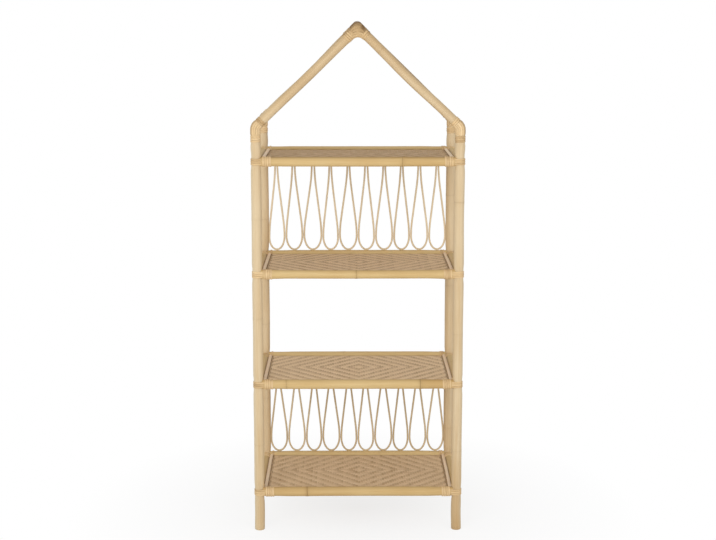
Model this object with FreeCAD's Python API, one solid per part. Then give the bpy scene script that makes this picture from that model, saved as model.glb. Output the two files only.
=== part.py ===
import FreeCAD, Part
import math
import os

# Children's bookshelf with a house-shaped outline, framed in rattan poles and bound with rattan peel.
# Millimetres. +Z is up, the front is -Y, and the origin is on the floor in the middle of the four feet.

# Frame
POLE_DIAMETER = 23.0
POST_SPAN_X = 497.0  # between the axes of the left and right posts
POST_SPAN_Y = 296.0  # between the axes of the front and rear posts
LOWEST_RAIL_HEIGHT = 98.5  # floor to the axis of the lowest rails
SHELF_PITCH = 278.5  # between the rail axes of neighbouring shelves
EAVE_ABOVE_TOP_RAIL = 84.5  # top rail's axis to the corner of the post and rafter axes
GABLE_RISE = 238.0  # that corner to the corner of the two rafter axes
EAVE_BEND_RADIUS = 16.0  # of the axis, where post and rafter meet
FOOT_CHAMFER = 1.0
COPE_CLEARANCE = 0.2  # a coped rail end to the pole that it meets

# Shelves
MAT_DROP = 7.5  # top of the rails to the mat's surface
MAT_THICKNESS = 2.0
BOARD_THICKNESS = 6.0
BOARD_EDGE_CLEARANCE = 0.5  # board and mat edges to the windings on the rails
TRIM_WIDTH = 7.0
TRIM_RISE = 3.4
BEARER_COUNT = 3
BEARER_SPACING = 150.0
BEARER_WIDTH = 28.0
BEARER_THICKNESS = 7.0

# Loops of the back panels
LOOP_COUNT = 10
LOOP_STRAND = 5.0  # strand diameter
LOOP_GAP = 0.3  # between neighbouring loops, and from the last loop to the post
LOOP_SEAT = 0.1  # loop's foot to the rail under it
LOOP_NECK = 6.2  # between the two strand axes at the top
LOOP_NECK_LENGTH = 16.0  # straight stretch under the upper rail
LOOP_SOCKET_DEPTH = 9.0  # strand ends in the upper rail
SOCKET_CLEARANCE = 0.15

# Rattan peel bindings
STRIP_WIDTH = 4.6
STRIP_RISE = 1.5  # crown of the half-round strip above the pole
STRIP_CLEARANCE = 0.05  # strip to pole
TURN_GAP = 0.45  # between the full round tubes of neighbouring turns
STRAP_END_GAP = 0.3  # strap end to the first turn beside it
CORNER_CLEARANCE = 0.4  # between the windings of two rails at one corner
CORNER_STRAPS = 3
RAIL_TURNS = 4
EAVE_POST_TURNS = 3
EAVE_RAFTER_TURNS = 2
EAVE_POST_REACH = 11.5  # straps past the bend, down the post
EAVE_RAFTER_REACH = 3.0  # straps past the bend, up the rafter
APEX_STRAP_REACH = 16.0  # straps from the corner of the axes, along each rafter
APEX_TURNS = 3

# Fasteners
SCREW_SHANK = 4.5
SCREW_HEAD = 8.0
SCREW_HEAD_HEIGHT = 3.0
SCREW_TIP = 5.0
RAIL_SCREW_LENGTH = 55.0
RAIL_SCREW_STAGGER = 4.2  # above the rail's axis for front and rear rails, below it for side rails
SCREW_WALL = 0.4  # between the screws of a rear rail and its loop sockets
EAVE_SCREW_LENGTH = 50.0
APEX_SCREW_LENGTH = 28.0
APEX_SCREW_DROP = 4.0  # below the corner of the rafter axes
HEAD_RECESS = 0.8  # screw head below the pole's surface
BRAD_DIAMETER = 1.8
BRAD_TIP = 2.0
BRAD_RECESS = 0.8
BEARER_BRAD_LENGTH = 42.0
LOOP_BRAD_LENGTH = 16.0
FASTENER_CLEARANCE = 0.1

# Worked out from the sizes above
LEVELS = ("bottom", "lower", "upper", "top")
CORNERS = ("front_left", "rear_left", "front_right", "rear_right")
POLE_R = POLE_DIAMETER / 2
POST_X = POST_SPAN_X / 2
POST_Y = POST_SPAN_Y / 2
RAIL_HEIGHT = {name: LOWEST_RAIL_HEIGHT + SHELF_PITCH * i for i, name in enumerate(LEVELS)}
EAVE_HEIGHT = RAIL_HEIGHT["top"] + EAVE_ABOVE_TOP_RAIL
APEX_HEIGHT = EAVE_HEIGHT + GABLE_RISE
SLOPE = math.atan2(GABLE_RISE, POST_X)
EAVE_TURN = math.pi / 2 - SLOPE
EAVE_TANGENT = EAVE_BEND_RADIUS * math.tan(EAVE_TURN / 2)

STRIP_R = (STRIP_WIDTH**2 / 4 + STRIP_RISE**2) / (2 * STRIP_RISE)  # radius of the strip's crown
TURN_R = POLE_R + STRIP_RISE - STRIP_R  # of the helix that the crown's centre follows
TURN_PITCH = 2 * STRIP_R + TURN_GAP
WINDING_START = POLE_R + STRIP_RISE + CORNER_CLEARANCE  # from the post's axis, along a rail
STRAP_R = POLE_R + STRIP_CLEARANCE  # of a strap's flat side

MAT_TOP = POLE_R - MAT_DROP  # above the rail's axis
BOARD_TOP = MAT_TOP - MAT_THICKNESS
BEARER_TOP = BOARD_TOP - BOARD_THICKNESS
BOARD_HALF_X = POST_X - POLE_R - STRIP_RISE - BOARD_EDGE_CLEARANCE
BOARD_HALF_Y = POST_Y - POLE_R - STRIP_RISE - BOARD_EDGE_CLEARANCE
BEARER_X = [BEARER_SPACING * (i - (BEARER_COUNT - 1) / 2) for i in range(BEARER_COUNT)]

LOOP_PITCH = (POST_SPAN_X - POLE_DIAMETER) / LOOP_COUNT
LOOP_WIDTH = LOOP_PITCH - LOOP_GAP - LOOP_STRAND  # between the strand axes at the widest point
LOOP_X = [LOOP_PITCH * (i - (LOOP_COUNT - 1) / 2) for i in range(LOOP_COUNT)]
LOOP_PANELS = {"upper": ("top", "upper"), "lower": ("lower", "bottom")}  # rail above, rail below

SOCKET_R = LOOP_STRAND / 2 + SOCKET_CLEARANCE
SCREW_HOLE_R = SCREW_SHANK / 2 + FASTENER_CLEARANCE
RAIL_SCREW_OFFSET = SOCKET_R + SCREW_WALL + SCREW_HOLE_R  # outwards from the axis of a front or rear rail

Vector = FreeCAD.Vector
UP = Vector(0, 0, 1)
ALONG_X = Vector(1, 0, 0)
ALONG_Y = Vector(0, 1, 0)


def cylinder(radius, length, start, direction):
    return Part.makeCylinder(radius, length, start, direction)


def turned_to(shape, axis, start, across):
    """Turns a shape made along +Z so that it runs along axis from start, with its +X along across."""
    beside = axis.cross(across)
    matrix = FreeCAD.Matrix()
    matrix.A11, matrix.A21, matrix.A31 = across.x, across.y, across.z
    matrix.A12, matrix.A22, matrix.A32 = beside.x, beside.y, beside.z
    matrix.A13, matrix.A23, matrix.A33 = axis.x, axis.y, axis.z
    matrix.A14, matrix.A24, matrix.A34 = start.x, start.y, start.z
    moved = shape.copy()
    moved.transformShape(matrix, True)
    return moved


def mirrored(shape, normal):
    return shape.mirror(Vector(0, 0, 0), normal)


def all_corners(shape):
    """The shape of the front left corner at all four corners, in the order of CORNERS."""
    left = [shape, mirrored(shape, ALONG_Y)]
    return left + [mirrored(s, ALONG_X) for s in left]


def half_round(width, rise, base, across, out):
    """Half-round outline on a flat side of the given width, rising along out from the point base."""
    ends = [base - across * (width / 2), base + across * (width / 2)]
    crown = Part.Arc(ends[0], base + out * rise, ends[1]).toShape()
    return Part.Wire([crown, Part.LineSegment(ends[1], ends[0]).toShape()])


def swept(edges, outline):
    return Part.Wire(edges).makePipeShell([outline], True, False)


def line(a, b):
    return Part.LineSegment(a, b).toShape()


def arc(a, b, c):
    return Part.Arc(a, b, c).toShape()


# Fasteners and their holes


def pointed_pin(start, direction, radius, length, tip):
    shank = cylinder(radius, length - tip, start, direction)
    point = Part.makeCone(radius, radius / 4, tip, start + direction * (length - tip), direction)
    return shank.fuse(point).removeSplitter()


def screw(start, direction, length):
    shank = pointed_pin(start, direction, SCREW_SHANK / 2, length, SCREW_TIP)
    head = cylinder(SCREW_HEAD / 2, SCREW_HEAD_HEIGHT, start, direction)
    return head.fuse(shank).removeSplitter()


def screw_hole(start, direction, length):
    """Clearance hole with a pocket for the head that is open to the outside."""
    shank = cylinder(SCREW_HOLE_R, length + FASTENER_CLEARANCE, start, direction)
    outside = start - direction * POLE_DIAMETER
    pocket = SCREW_HEAD_HEIGHT + FASTENER_CLEARANCE + POLE_DIAMETER
    return shank.fuse(cylinder(SCREW_HEAD / 2 + FASTENER_CLEARANCE, pocket, outside, direction))


def brad(start, direction, length):
    return pointed_pin(start, direction, BRAD_DIAMETER / 2, length, BRAD_TIP)


def brad_hole(start, direction, length):
    """Clearance hole that is open to the outside behind the brad's head."""
    outside = start - direction * BRAD_RECESS * 2
    depth = length + FASTENER_CLEARANCE + BRAD_RECESS * 2
    return cylinder(BRAD_DIAMETER / 2 + FASTENER_CLEARANCE, depth, outside, direction)


def head_depth(offset):
    """Distance from a pole's axis to a screw head sunk in its side, for a screw this far off the axis."""
    edge = offset + SCREW_HEAD / 2
    return math.sqrt(POLE_R**2 - edge**2) - HEAD_RECESS


def rail_screw_places():
    """Start and direction of each screw that holds a rail end, through the post and along the rail."""
    offset = RAIL_SCREW_OFFSET
    long_rail = Vector(POST_X + head_depth(offset), POST_Y + offset, RAIL_SCREW_STAGGER)
    side_rail = Vector(POST_X, POST_Y + head_depth(0), -RAIL_SCREW_STAGGER)
    places = []
    for height in RAIL_HEIGHT.values():
        for side in (-1, 1):
            for face in (-1, 1):
                for at, direction in ((long_rail, ALONG_X * -side), (side_rail, ALONG_Y * -face)):
                    places.append((Vector(side * at.x, face * at.y, height + at.z), direction))
    return places


def eave_screw_places():
    """Start and direction of each screw down through a rafter's lower end into its post."""
    top = EAVE_HEIGHT + POLE_R / math.cos(SLOPE) - HEAD_RECESS - SCREW_HEAD / 2 * math.tan(SLOPE)
    corners = [(side, face) for side in (-1, 1) for face in (-1, 1)]
    return [(Vector(side * POST_X, face * POST_Y, top), UP * -1) for side, face in corners]


def apex_screw_places():
    """Start and direction of the screw across the mitre of each gable."""
    z = APEX_HEIGHT - APEX_SCREW_DROP
    return [(Vector(-APEX_SCREW_LENGTH / 2, face * POST_Y, z), ALONG_X) for face in (-1, 1)]


def bearer_brad_places(height):
    """Start and direction of the brads through the front and rear rails into the bearers of one shelf."""
    drop = BEARER_TOP - BEARER_THICKNESS / 2
    reach = math.sqrt(max(POLE_R**2 - drop**2, 0)) - BRAD_RECESS
    ends = [(x, face) for x in BEARER_X for face in (-1, 1)]
    return [(Vector(x, face * (POST_Y + reach), height + drop), ALONG_Y * -face) for x, face in ends]


def loop_brad_places(height):
    """Start and direction of the brads through the loops' feet into the rail at this height."""
    z = height + POLE_R + LOOP_SEAT + LOOP_STRAND - BRAD_RECESS
    return [(Vector(x, POST_Y, z), UP * -1) for x in LOOP_X]


def screw_holes():
    rails = [screw_hole(p, d, RAIL_SCREW_LENGTH) for p, d in rail_screw_places()]
    eaves = [screw_hole(p, d, EAVE_SCREW_LENGTH) for p, d in eave_screw_places()]
    apexes = [screw_hole(p, d, APEX_SCREW_LENGTH) for p, d in apex_screw_places()]
    return rails + eaves + apexes


def cut_near(shape, tools):
    """Cuts only with the tools whose boxes meet the shape's box."""
    near = [t for t in tools if t.BoundBox.intersect(shape.BoundBox)]
    return shape.cut(near) if near else shape


# Poles


def eave_bend(start_angle):
    """Half of the front left elbow, turned on from start_angle about the bend's centre."""
    centre = Vector(-POST_X + EAVE_BEND_RADIUS, -POST_Y, EAVE_HEIGHT - EAVE_TANGENT)
    start = Vector(-POST_X, -POST_Y, EAVE_HEIGHT - EAVE_TANGENT)
    ring = Part.Face(Part.Wire(Part.makeCircle(POLE_R, start, UP)))
    ring.rotate(centre, ALONG_Y, math.degrees(start_angle))
    return ring.revolve(centre, ALONG_Y, math.degrees(EAVE_TURN / 2))


def post():
    """Front left post, from the floor to the mitre of the eave."""
    foot = Vector(-POST_X, -POST_Y, 0)
    tip = Part.makeCone(POLE_R - FOOT_CHAMFER, POLE_R, FOOT_CHAMFER, foot, UP)
    length = EAVE_HEIGHT - EAVE_TANGENT - FOOT_CHAMFER
    shaft = cylinder(POLE_R, length, foot + UP * FOOT_CHAMFER, UP)
    return tip.fuse([shaft, eave_bend(0)]).removeSplitter()


def rafter_direction():
    return Vector(math.cos(SLOPE), 0, math.sin(SLOPE))


def rafter():
    """Front left rafter, from the mitre of the eave to the mitre of the apex."""
    along = rafter_direction()
    start = Vector(-POST_X, -POST_Y, EAVE_HEIGHT) + along * EAVE_TANGENT
    past_apex = POLE_R * math.tan(SLOPE) + POLE_R
    length = POST_X / math.cos(SLOPE) - EAVE_TANGENT + past_apex
    shaft = cylinder(POLE_R, length, start, along)
    other_side = Part.makeBox(POST_X, POST_SPAN_Y, 2 * GABLE_RISE, Vector(0, -POST_SPAN_Y, EAVE_HEIGHT))
    return eave_bend(EAVE_TURN / 2).fuse(shaft).removeSplitter().cut(other_side)


def mitre_wedge(corner, inward, beside):
    """The part of a rail end, past the diagonal of the corner, that the neighbouring rail takes up."""
    reach = POLE_R + STRIP_RISE
    bottom = corner - UP * reach
    near = bottom - beside * COPE_CLEARANCE
    far = bottom + inward * reach + beside * (reach - COPE_CLEARANCE)
    inner = bottom + beside * (reach - COPE_CLEARANCE)
    return Part.Face(Part.makePolygon([near, far, inner, near])).extrude(UP * (2 * reach))


def rail(start, end, beside):
    """Rail between two post axes, coped on the posts and mitred against the rails beside it."""
    along = (end - start).normalize()
    body = cylinder(POLE_R, (end - start).Length, start, along)
    tools = [mitre_wedge(start, along, beside), mitre_wedge(end, along * -1, beside)]
    for point in (start, end):
        tools.append(cylinder(POLE_R + COPE_CLEARANCE, 4 * POLE_R, point - UP * 2 * POLE_R, UP))
    return body.cut(tools)


def shelf_rails(height):
    """Front, rear, left and right rail of the shelf at this height."""
    front_left = Vector(-POST_X, -POST_Y, height)
    front = rail(front_left, Vector(POST_X, -POST_Y, height), ALONG_Y)
    left = rail(front_left, Vector(-POST_X, POST_Y, height), ALONG_X)
    return {
        "front_rail": front,
        "rear_rail": mirrored(front, ALONG_Y),
        "left_rail": left,
        "right_rail": mirrored(left, ALONG_X),
    }


# Shelves


def board(height):
    corner = Vector(-BOARD_HALF_X, -BOARD_HALF_Y, height + BEARER_TOP)
    return Part.makeBox(2 * BOARD_HALF_X, 2 * BOARD_HALF_Y, BOARD_THICKNESS, corner)


def mat(height):
    corner = Vector(-BOARD_HALF_X, -BOARD_HALF_Y, height + BOARD_TOP)
    return Part.makeBox(2 * BOARD_HALF_X, 2 * BOARD_HALF_Y, MAT_THICKNESS, corner)


def trims(height):
    base = Vector(-BOARD_HALF_X + TRIM_WIDTH / 2, -BOARD_HALF_Y, height + MAT_TOP)
    outline = Part.Face(half_round(TRIM_WIDTH, TRIM_RISE, base, ALONG_X, UP))
    left = outline.extrude(ALONG_Y * (2 * BOARD_HALF_Y))
    return [left, mirrored(left, ALONG_X)]


def bearers(height):
    """Flat battens under the board, coped on the front and rear rails."""
    reach = POLE_R + COPE_CLEARANCE
    tools = [
        cylinder(reach, POST_SPAN_X, Vector(-POST_X, face * POST_Y, height), ALONG_X) for face in (-1, 1)
    ]
    low = height + BEARER_TOP - BEARER_THICKNESS
    made = []
    for x in BEARER_X:
        corner = Vector(x - BEARER_WIDTH / 2, -POST_Y, low)
        made.append(Part.makeBox(BEARER_WIDTH, POST_SPAN_Y, BEARER_THICKNESS, corner).cut(tools))
    return made


# Back panels


def loop_side(x, sign, top, low):
    """One side of a loop from its socket down to its widest point: the wire's edges, in that order."""
    neck = x + sign * LOOP_NECK / 2
    wide = x + sign * LOOP_WIDTH / 2
    shift = (LOOP_WIDTH - LOOP_NECK) / 2
    bend_top = top - POLE_R - LOOP_NECK_LENGTH
    bend_low = low + POLE_R + LOOP_SEAT + LOOP_STRAND / 2 + LOOP_WIDTH / 2
    fall = bend_top - bend_low
    radius = (fall**2 + shift**2) / (4 * shift)
    drift = radius - math.sqrt(radius**2 - fall**2 / 16)
    at = [
        Vector(neck, POST_Y, top - POLE_R + LOOP_SOCKET_DEPTH),
        Vector(neck, POST_Y, bend_top),
        Vector(neck + sign * drift, POST_Y, bend_top - fall / 4),
        Vector((neck + wide) / 2, POST_Y, bend_top - fall / 2),
        Vector(wide - sign * drift, POST_Y, bend_top - fall * 3 / 4),
        Vector(wide, POST_Y, bend_low),
    ]
    return [line(at[0], at[1]), arc(*at[1:4]), arc(*at[3:6])], at


def loop(x, top, low):
    """Bent strand with its round foot on the rail below and both ends in the rail above."""
    left, left_at = loop_side(x, -1, top, low)
    right, right_at = loop_side(x, 1, top, low)
    centre = Vector(x, POST_Y, left_at[-1].z)
    slant = LOOP_WIDTH / 2 * math.sqrt(0.5)
    foot = centre - UP * (LOOP_WIDTH / 2)
    round_foot = [
        arc(left_at[-1], centre + Vector(-slant, 0, -slant), foot),
        arc(foot, centre + Vector(slant, 0, -slant), right_at[-1]),
    ]
    ring = Part.Wire(Part.makeCircle(LOOP_STRAND / 2, left_at[0], UP))
    return swept(left + round_foot + right[::-1], ring)


def loop_sockets(height):
    """Blind holes for the strand ends in the underside of the rail at this height."""
    depth = LOOP_SOCKET_DEPTH + SOCKET_CLEARANCE
    starts = [x + sign * LOOP_NECK / 2 for x in LOOP_X for sign in (-1, 1)]
    low = height - 2 * POLE_R
    return [cylinder(SOCKET_R, depth + POLE_R, Vector(x, POST_Y, low), UP) for x in starts]


# Bindings


def helix_point(angle):
    return Vector(
        TURN_R * math.cos(angle), TURN_R * math.sin(angle), STRIP_R + TURN_PITCH * angle / (2 * math.pi)
    )


def helix_tangent(angle):
    rise = TURN_PITCH / (2 * math.pi)
    return Vector(-TURN_R * math.sin(angle), TURN_R * math.cos(angle), rise).normalize()


def arc_by_corner(start, corner, end):
    """Arc from start to end whose end tangents meet at corner, at the same distance from both."""
    middle = (start + end) * 0.5
    half_chord = (end - start).Length / 2
    slant = math.acos(half_chord / (corner - start).Length)
    return arc(start, middle + (corner - middle) * (math.tan(slant / 2) / math.tan(slant)), end)


def biarc(p, q, p_tangent, q_tangent):
    """Two tangent arcs from p to q with the given end tangents."""
    chord = q - p
    both = p_tangent + q_tangent
    spread = 2 * (1 - p_tangent.dot(q_tangent))
    lean = chord.dot(both)
    reach = (math.sqrt(lean**2 + spread * chord.dot(chord)) - lean) / spread
    p_corner = p + p_tangent * reach
    q_corner = q - q_tangent * reach
    joint = (p_corner + q_corner) * 0.5
    return [arc_by_corner(p, p_corner, joint), arc_by_corner(joint, q_corner, q)]


def least_gap(edges, half_turns):
    """Least gap of the winding's tube to itself, on points along its path, half a turn or more apart."""
    points = [p for e in edges for p in e.discretize(Number=9)[:-1]]
    half_turn = len(points) // half_turns
    pairs = ((p, q) for i, p in enumerate(points) for q in points[i + half_turn :])
    return min((q - p).Length for p, q in pairs) - 2 * STRIP_R


def winding(half_turns):
    """Half-round strip wound along +Z round a pole: a round tube, cut away where the pole is."""
    edges = []
    for i in range(half_turns):
        a, b = math.pi * i, math.pi * (i + 1)
        edges += biarc(helix_point(a), helix_point(b), helix_tangent(a), helix_tangent(b))
    ring = Part.Wire(Part.makeCircle(STRIP_R, helix_point(0), helix_tangent(0)))
    tube = swept(edges, ring)
    gap = least_gap(edges, half_turns) if half_turns > 1 else TURN_GAP
    print(f"winding of {half_turns / 2} turns: least gap to itself {gap:.2f} mm")
    length = winding_length(half_turns) + 2 * STRIP_R
    return tube.cut(cylinder(POLE_R + STRIP_CLEARANCE, length, UP * -STRIP_R, UP))


def winding_length(half_turns):
    return half_turns / 2 * TURN_PITCH + 2 * STRIP_R


def rear_half_turns():
    """Half turns on a rear rail end that stay clear of the outermost loop's foot and neck."""
    loop_at = POLE_R + LOOP_PITCH / 2
    to_neck = loop_at - (LOOP_NECK + LOOP_STRAND) / 2 - WINDING_START - 2 * STRIP_R
    foot = math.sqrt((LOOP_WIDTH + LOOP_STRAND) * STRIP_RISE)
    to_foot = loop_at - foot - WINDING_START - STRIP_R
    return max(1, int(2 * min(to_neck, to_foot) / TURN_PITCH))


def rail_windings(height, front_winding, rear_winding):
    """Windings on both ends of the four rails of one shelf, begun beside the posts."""
    front_left = Vector(-POST_X, -POST_Y, height)
    rear_left = Vector(-POST_X, POST_Y, height)
    front = turned_to(front_winding, ALONG_X, front_left + ALONG_X * WINDING_START, ALONG_Y)
    rear = turned_to(rear_winding, ALONG_X, rear_left + ALONG_X * WINDING_START, ALONG_Y)
    side = turned_to(front_winding, ALONG_Y, front_left + ALONG_Y * WINDING_START, ALONG_X)
    left = [front, rear, side, mirrored(side, ALONG_Y)]
    return left + [mirrored(s, ALONG_X) for s in left]


def corner_straps(height):
    """Straps from the front rail round the post to the side rail, at each corner of one shelf."""
    reach = WINDING_START - STRAP_END_GAP
    made = []
    for i in range(CORNER_STRAPS):
        axis = Vector(-POST_X, -POST_Y, height + TURN_PITCH * (i - (CORNER_STRAPS - 1) / 2))
        front = axis - ALONG_Y * STRAP_R
        outside = axis - ALONG_X * STRAP_R
        slant = Vector(-STRAP_R, -STRAP_R, 0) * math.sqrt(0.5)
        start = front + ALONG_X * reach
        edges = [
            line(start, front),
            arc(front, axis + slant, outside),
            line(outside, outside + ALONG_Y * reach),
        ]
        strap = swept(edges, half_round(STRIP_WIDTH, STRIP_RISE, start, UP, ALONG_Y * -1))
        made += all_corners(strap)
    return made


def round_pole_angles():
    """Even angles round a pole for straps that lie side by side."""
    count = int(2 * math.pi * POLE_R / TURN_PITCH)
    return [2 * math.pi * i / count for i in range(count)]


def eave_straps():
    """Straps along the front left elbow, side by side all round it."""
    centre = Vector(-POST_X + EAVE_BEND_RADIUS, -POST_Y, EAVE_HEIGHT - EAVE_TANGENT)
    made = []
    for angle in round_pole_angles():
        out = Vector(-math.cos(angle), math.sin(angle), 0)
        across = Vector(math.sin(angle), math.cos(angle), 0)
        lean = Vector(0, STRAP_R * math.sin(angle), 0)
        radius = EAVE_BEND_RADIUS + STRAP_R * math.cos(angle)

        def on_bend(turn):
            return centre + lean + Vector(-math.cos(turn), 0, math.sin(turn)) * radius

        start = on_bend(0) - UP * EAVE_POST_REACH
        end = on_bend(EAVE_TURN)
        edges = [
            line(start, on_bend(0)),
            arc(on_bend(0), on_bend(EAVE_TURN / 2), end),
            line(end, end + rafter_direction() * EAVE_RAFTER_REACH),
        ]
        made.append(swept(edges, half_round(STRIP_WIDTH, STRIP_RISE, start, across, out)))
    return made


def eave_windings(post_winding, rafter_winding):
    """Windings below and above the straps of the front left elbow."""
    corner = Vector(-POST_X, -POST_Y, EAVE_HEIGHT)
    below = corner - UP * (EAVE_TANGENT + EAVE_POST_REACH + STRAP_END_GAP)
    above = corner + rafter_direction() * (EAVE_TANGENT + EAVE_RAFTER_REACH + STRAP_END_GAP)
    return [
        turned_to(post_winding, UP * -1, below, ALONG_Y),
        turned_to(rafter_winding, rafter_direction(), above, ALONG_Y),
    ]


def apex_straps():
    """Straps over the front apex, side by side all round it and folded at the mitre."""
    along = rafter_direction()
    up_slope = Vector(-math.sin(SLOPE), 0, math.cos(SLOPE))
    apex = Vector(0, -POST_Y, APEX_HEIGHT)
    past = (POLE_R + STRIP_RISE) * math.tan(SLOPE) + STRIP_WIDTH
    other_side = Part.makeBox(
        POST_X, POST_SPAN_Y, 2 * GABLE_RISE, Vector(0, -POST_Y - POST_SPAN_Y / 2, EAVE_HEIGHT)
    )
    made = []
    for angle in round_pole_angles():
        out = up_slope * math.cos(angle) - ALONG_Y * math.sin(angle)
        across = up_slope * math.sin(angle) + ALONG_Y * math.cos(angle)
        start = apex - along * APEX_STRAP_REACH + out * STRAP_R
        outline = Part.Face(half_round(STRIP_WIDTH, STRIP_RISE, start, across, out))
        left = outline.extrude(along * (APEX_STRAP_REACH + past)).cut(other_side)
        made.append(left.fuse(mirrored(left, ALONG_X)).removeSplitter())
    return made


def apex_windings(apex_winding):
    """Windings on both rafters of the front gable, below the apex straps."""
    along = rafter_direction()
    start = Vector(0, -POST_Y, APEX_HEIGHT) - along * (APEX_STRAP_REACH + STRAP_END_GAP)
    left = turned_to(apex_winding, along * -1, start, ALONG_Y)
    return [left, mirrored(left, ALONG_X)]


# Assembly


def both_gables(shapes):
    """The front gable's shapes by node name prefix, with the rear gable's."""
    return {"front": shapes, "rear": [mirrored(s, ALONG_Y) for s in shapes]}


def frame_nodes(holes):
    nodes = {}
    for name, shape in zip(CORNERS, all_corners(post())):
        nodes[f"{name}_post"] = [cut_near(shape, holes)]
    for name, shape in zip(CORNERS, all_corners(rafter())):
        nodes[f"{name}_rafter"] = [cut_near(shape, holes)]
    return nodes


def shelf_nodes(level, holes, front_winding, rear_winding):
    height = RAIL_HEIGHT[level]
    places = bearer_brad_places(height)
    brad_holes = [brad_hole(p, d, BEARER_BRAD_LENGTH) for p, d in places]
    rear_tools = []
    for above, below in LOOP_PANELS.values():
        if level == above:
            rear_tools += loop_sockets(height)
        if level == below:
            rear_tools += [brad_hole(p, d, LOOP_BRAD_LENGTH) for p, d in loop_brad_places(height)]
    nodes = {}
    for name, shape in shelf_rails(height).items():
        tools = holes + brad_holes + (rear_tools if name == "rear_rail" else [])
        nodes[f"{level}_shelf_{name}"] = [cut_near(shape, tools)]
    nodes[f"{level}_shelf_board"] = [board(height)]
    nodes[f"{level}_shelf_mat"] = [mat(height)]
    nodes[f"{level}_shelf_trims"] = trims(height)
    nodes[f"{level}_shelf_bearers"] = [cut_near(s, brad_holes) for s in bearers(height)]
    nodes[f"{level}_shelf_corner_straps"] = corner_straps(height)
    nodes[f"{level}_shelf_rail_windings"] = rail_windings(height, front_winding, rear_winding)
    return nodes


def loop_nodes():
    nodes = {}
    for panel, (above, below) in LOOP_PANELS.items():
        tools = [brad_hole(p, d, LOOP_BRAD_LENGTH) for p, d in loop_brad_places(RAIL_HEIGHT[below])]
        loops = [loop(x, RAIL_HEIGHT[above], RAIL_HEIGHT[below]) for x in LOOP_X]
        nodes[f"{panel}_back_loops"] = [cut_near(s, tools) for s in loops]
    return nodes


def roof_binding_nodes():
    straps = eave_straps()
    straps += [mirrored(s, ALONG_X) for s in straps]
    turns = eave_windings(winding(2 * EAVE_POST_TURNS), winding(2 * EAVE_RAFTER_TURNS))
    turns += [mirrored(s, ALONG_X) for s in turns]
    groups = {
        "eave_straps": straps,
        "eave_windings": turns,
        "apex_straps": apex_straps(),
        "apex_windings": apex_windings(winding(2 * APEX_TURNS)),
    }
    nodes = {}
    for group, shapes in groups.items():
        for gable, made in both_gables(shapes).items():
            nodes[f"{gable}_{group}"] = made
    return nodes


def fastener_nodes():
    screws = [screw(p, d, RAIL_SCREW_LENGTH) for p, d in rail_screw_places()]
    screws += [screw(p, d, EAVE_SCREW_LENGTH) for p, d in eave_screw_places()]
    screws += [screw(p, d, APEX_SCREW_LENGTH) for p, d in apex_screw_places()]
    brads = []
    for height in RAIL_HEIGHT.values():
        brads += [brad(p, d, BEARER_BRAD_LENGTH) for p, d in bearer_brad_places(height)]
    for _, below in LOOP_PANELS.values():
        brads += [brad(p, d, LOOP_BRAD_LENGTH) for p, d in loop_brad_places(RAIL_HEIGHT[below])]
    return {"frame_screws": screws, "panel_brads": brads}


def build():
    holes = screw_holes()
    nodes = frame_nodes(holes)
    front_winding = winding(2 * RAIL_TURNS)
    rear_winding = winding(rear_half_turns())
    for level in LEVELS:
        nodes.update(shelf_nodes(level, holes, front_winding, rear_winding))
    nodes.update(loop_nodes())
    nodes.update(roof_binding_nodes())
    nodes.update(fastener_nodes())
    return nodes


def export(nodes):
    os.makedirs("parts", exist_ok=True)
    for name, shapes in nodes.items():
        solids = [solid for shape in shapes for solid in shape.Solids]
        if len(solids) != len(shapes) or not all(s.isValid() for s in solids):
            raise ValueError(f"{name}: {len(solids)} solids from {len(shapes)} shapes, or one is not valid")
        whole = solids[0] if len(solids) == 1 else Part.makeCompound(solids)
        whole.exportStep(f"parts/{name}.step")
    print(f"{len(nodes)} nodes, {sum(len(s) for s in nodes.values())} solids")


export(build())
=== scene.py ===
import math

import bpy
import numpy as np
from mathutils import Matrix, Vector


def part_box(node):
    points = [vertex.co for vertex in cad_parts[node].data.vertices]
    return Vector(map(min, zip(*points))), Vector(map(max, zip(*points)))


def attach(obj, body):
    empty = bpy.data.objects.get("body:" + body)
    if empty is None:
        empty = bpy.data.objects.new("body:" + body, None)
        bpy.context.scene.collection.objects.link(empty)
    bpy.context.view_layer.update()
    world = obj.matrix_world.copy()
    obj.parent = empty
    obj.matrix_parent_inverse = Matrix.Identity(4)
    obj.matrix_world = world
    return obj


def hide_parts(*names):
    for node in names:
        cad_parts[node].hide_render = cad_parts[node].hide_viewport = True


bl_info = {
    "name": "House-shaped rattan bookshelf",
    "version": (1, 0, 0),
    "blender": (4, 5, 0),
    "location": "3D View > Sidebar > Bookshelf",
    "description": "Dresses the packed bookshelf in rattan poles, woven mats, bent loops and peel bindings",
    "category": "Add Mesh",
}

# The frame comes first, so that sizes can be read from it. Everything is in metres.
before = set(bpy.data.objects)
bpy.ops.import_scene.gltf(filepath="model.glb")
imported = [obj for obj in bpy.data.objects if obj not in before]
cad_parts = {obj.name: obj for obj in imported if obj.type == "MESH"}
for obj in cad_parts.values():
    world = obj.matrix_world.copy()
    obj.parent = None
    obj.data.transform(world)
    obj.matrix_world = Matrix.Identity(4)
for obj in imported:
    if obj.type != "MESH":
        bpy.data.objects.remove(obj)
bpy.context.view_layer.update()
MM = 0.001
TURN = 2 * math.pi

LEVELS = ("bottom", "lower", "upper", "top")
SIDES = {"left": -1, "right": 1}
FACES = {"front": -1, "rear": 1}
CORNERS = [(f"{face}_{side}", FACES[face], SIDES[side]) for face in FACES for side in SIDES]
UP = np.array([0.0, 0.0, 1.0])
ALONG_X = np.array([1.0, 0.0, 0.0])
ALONG_Y = np.array([0.0, 1.0, 0.0])


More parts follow.
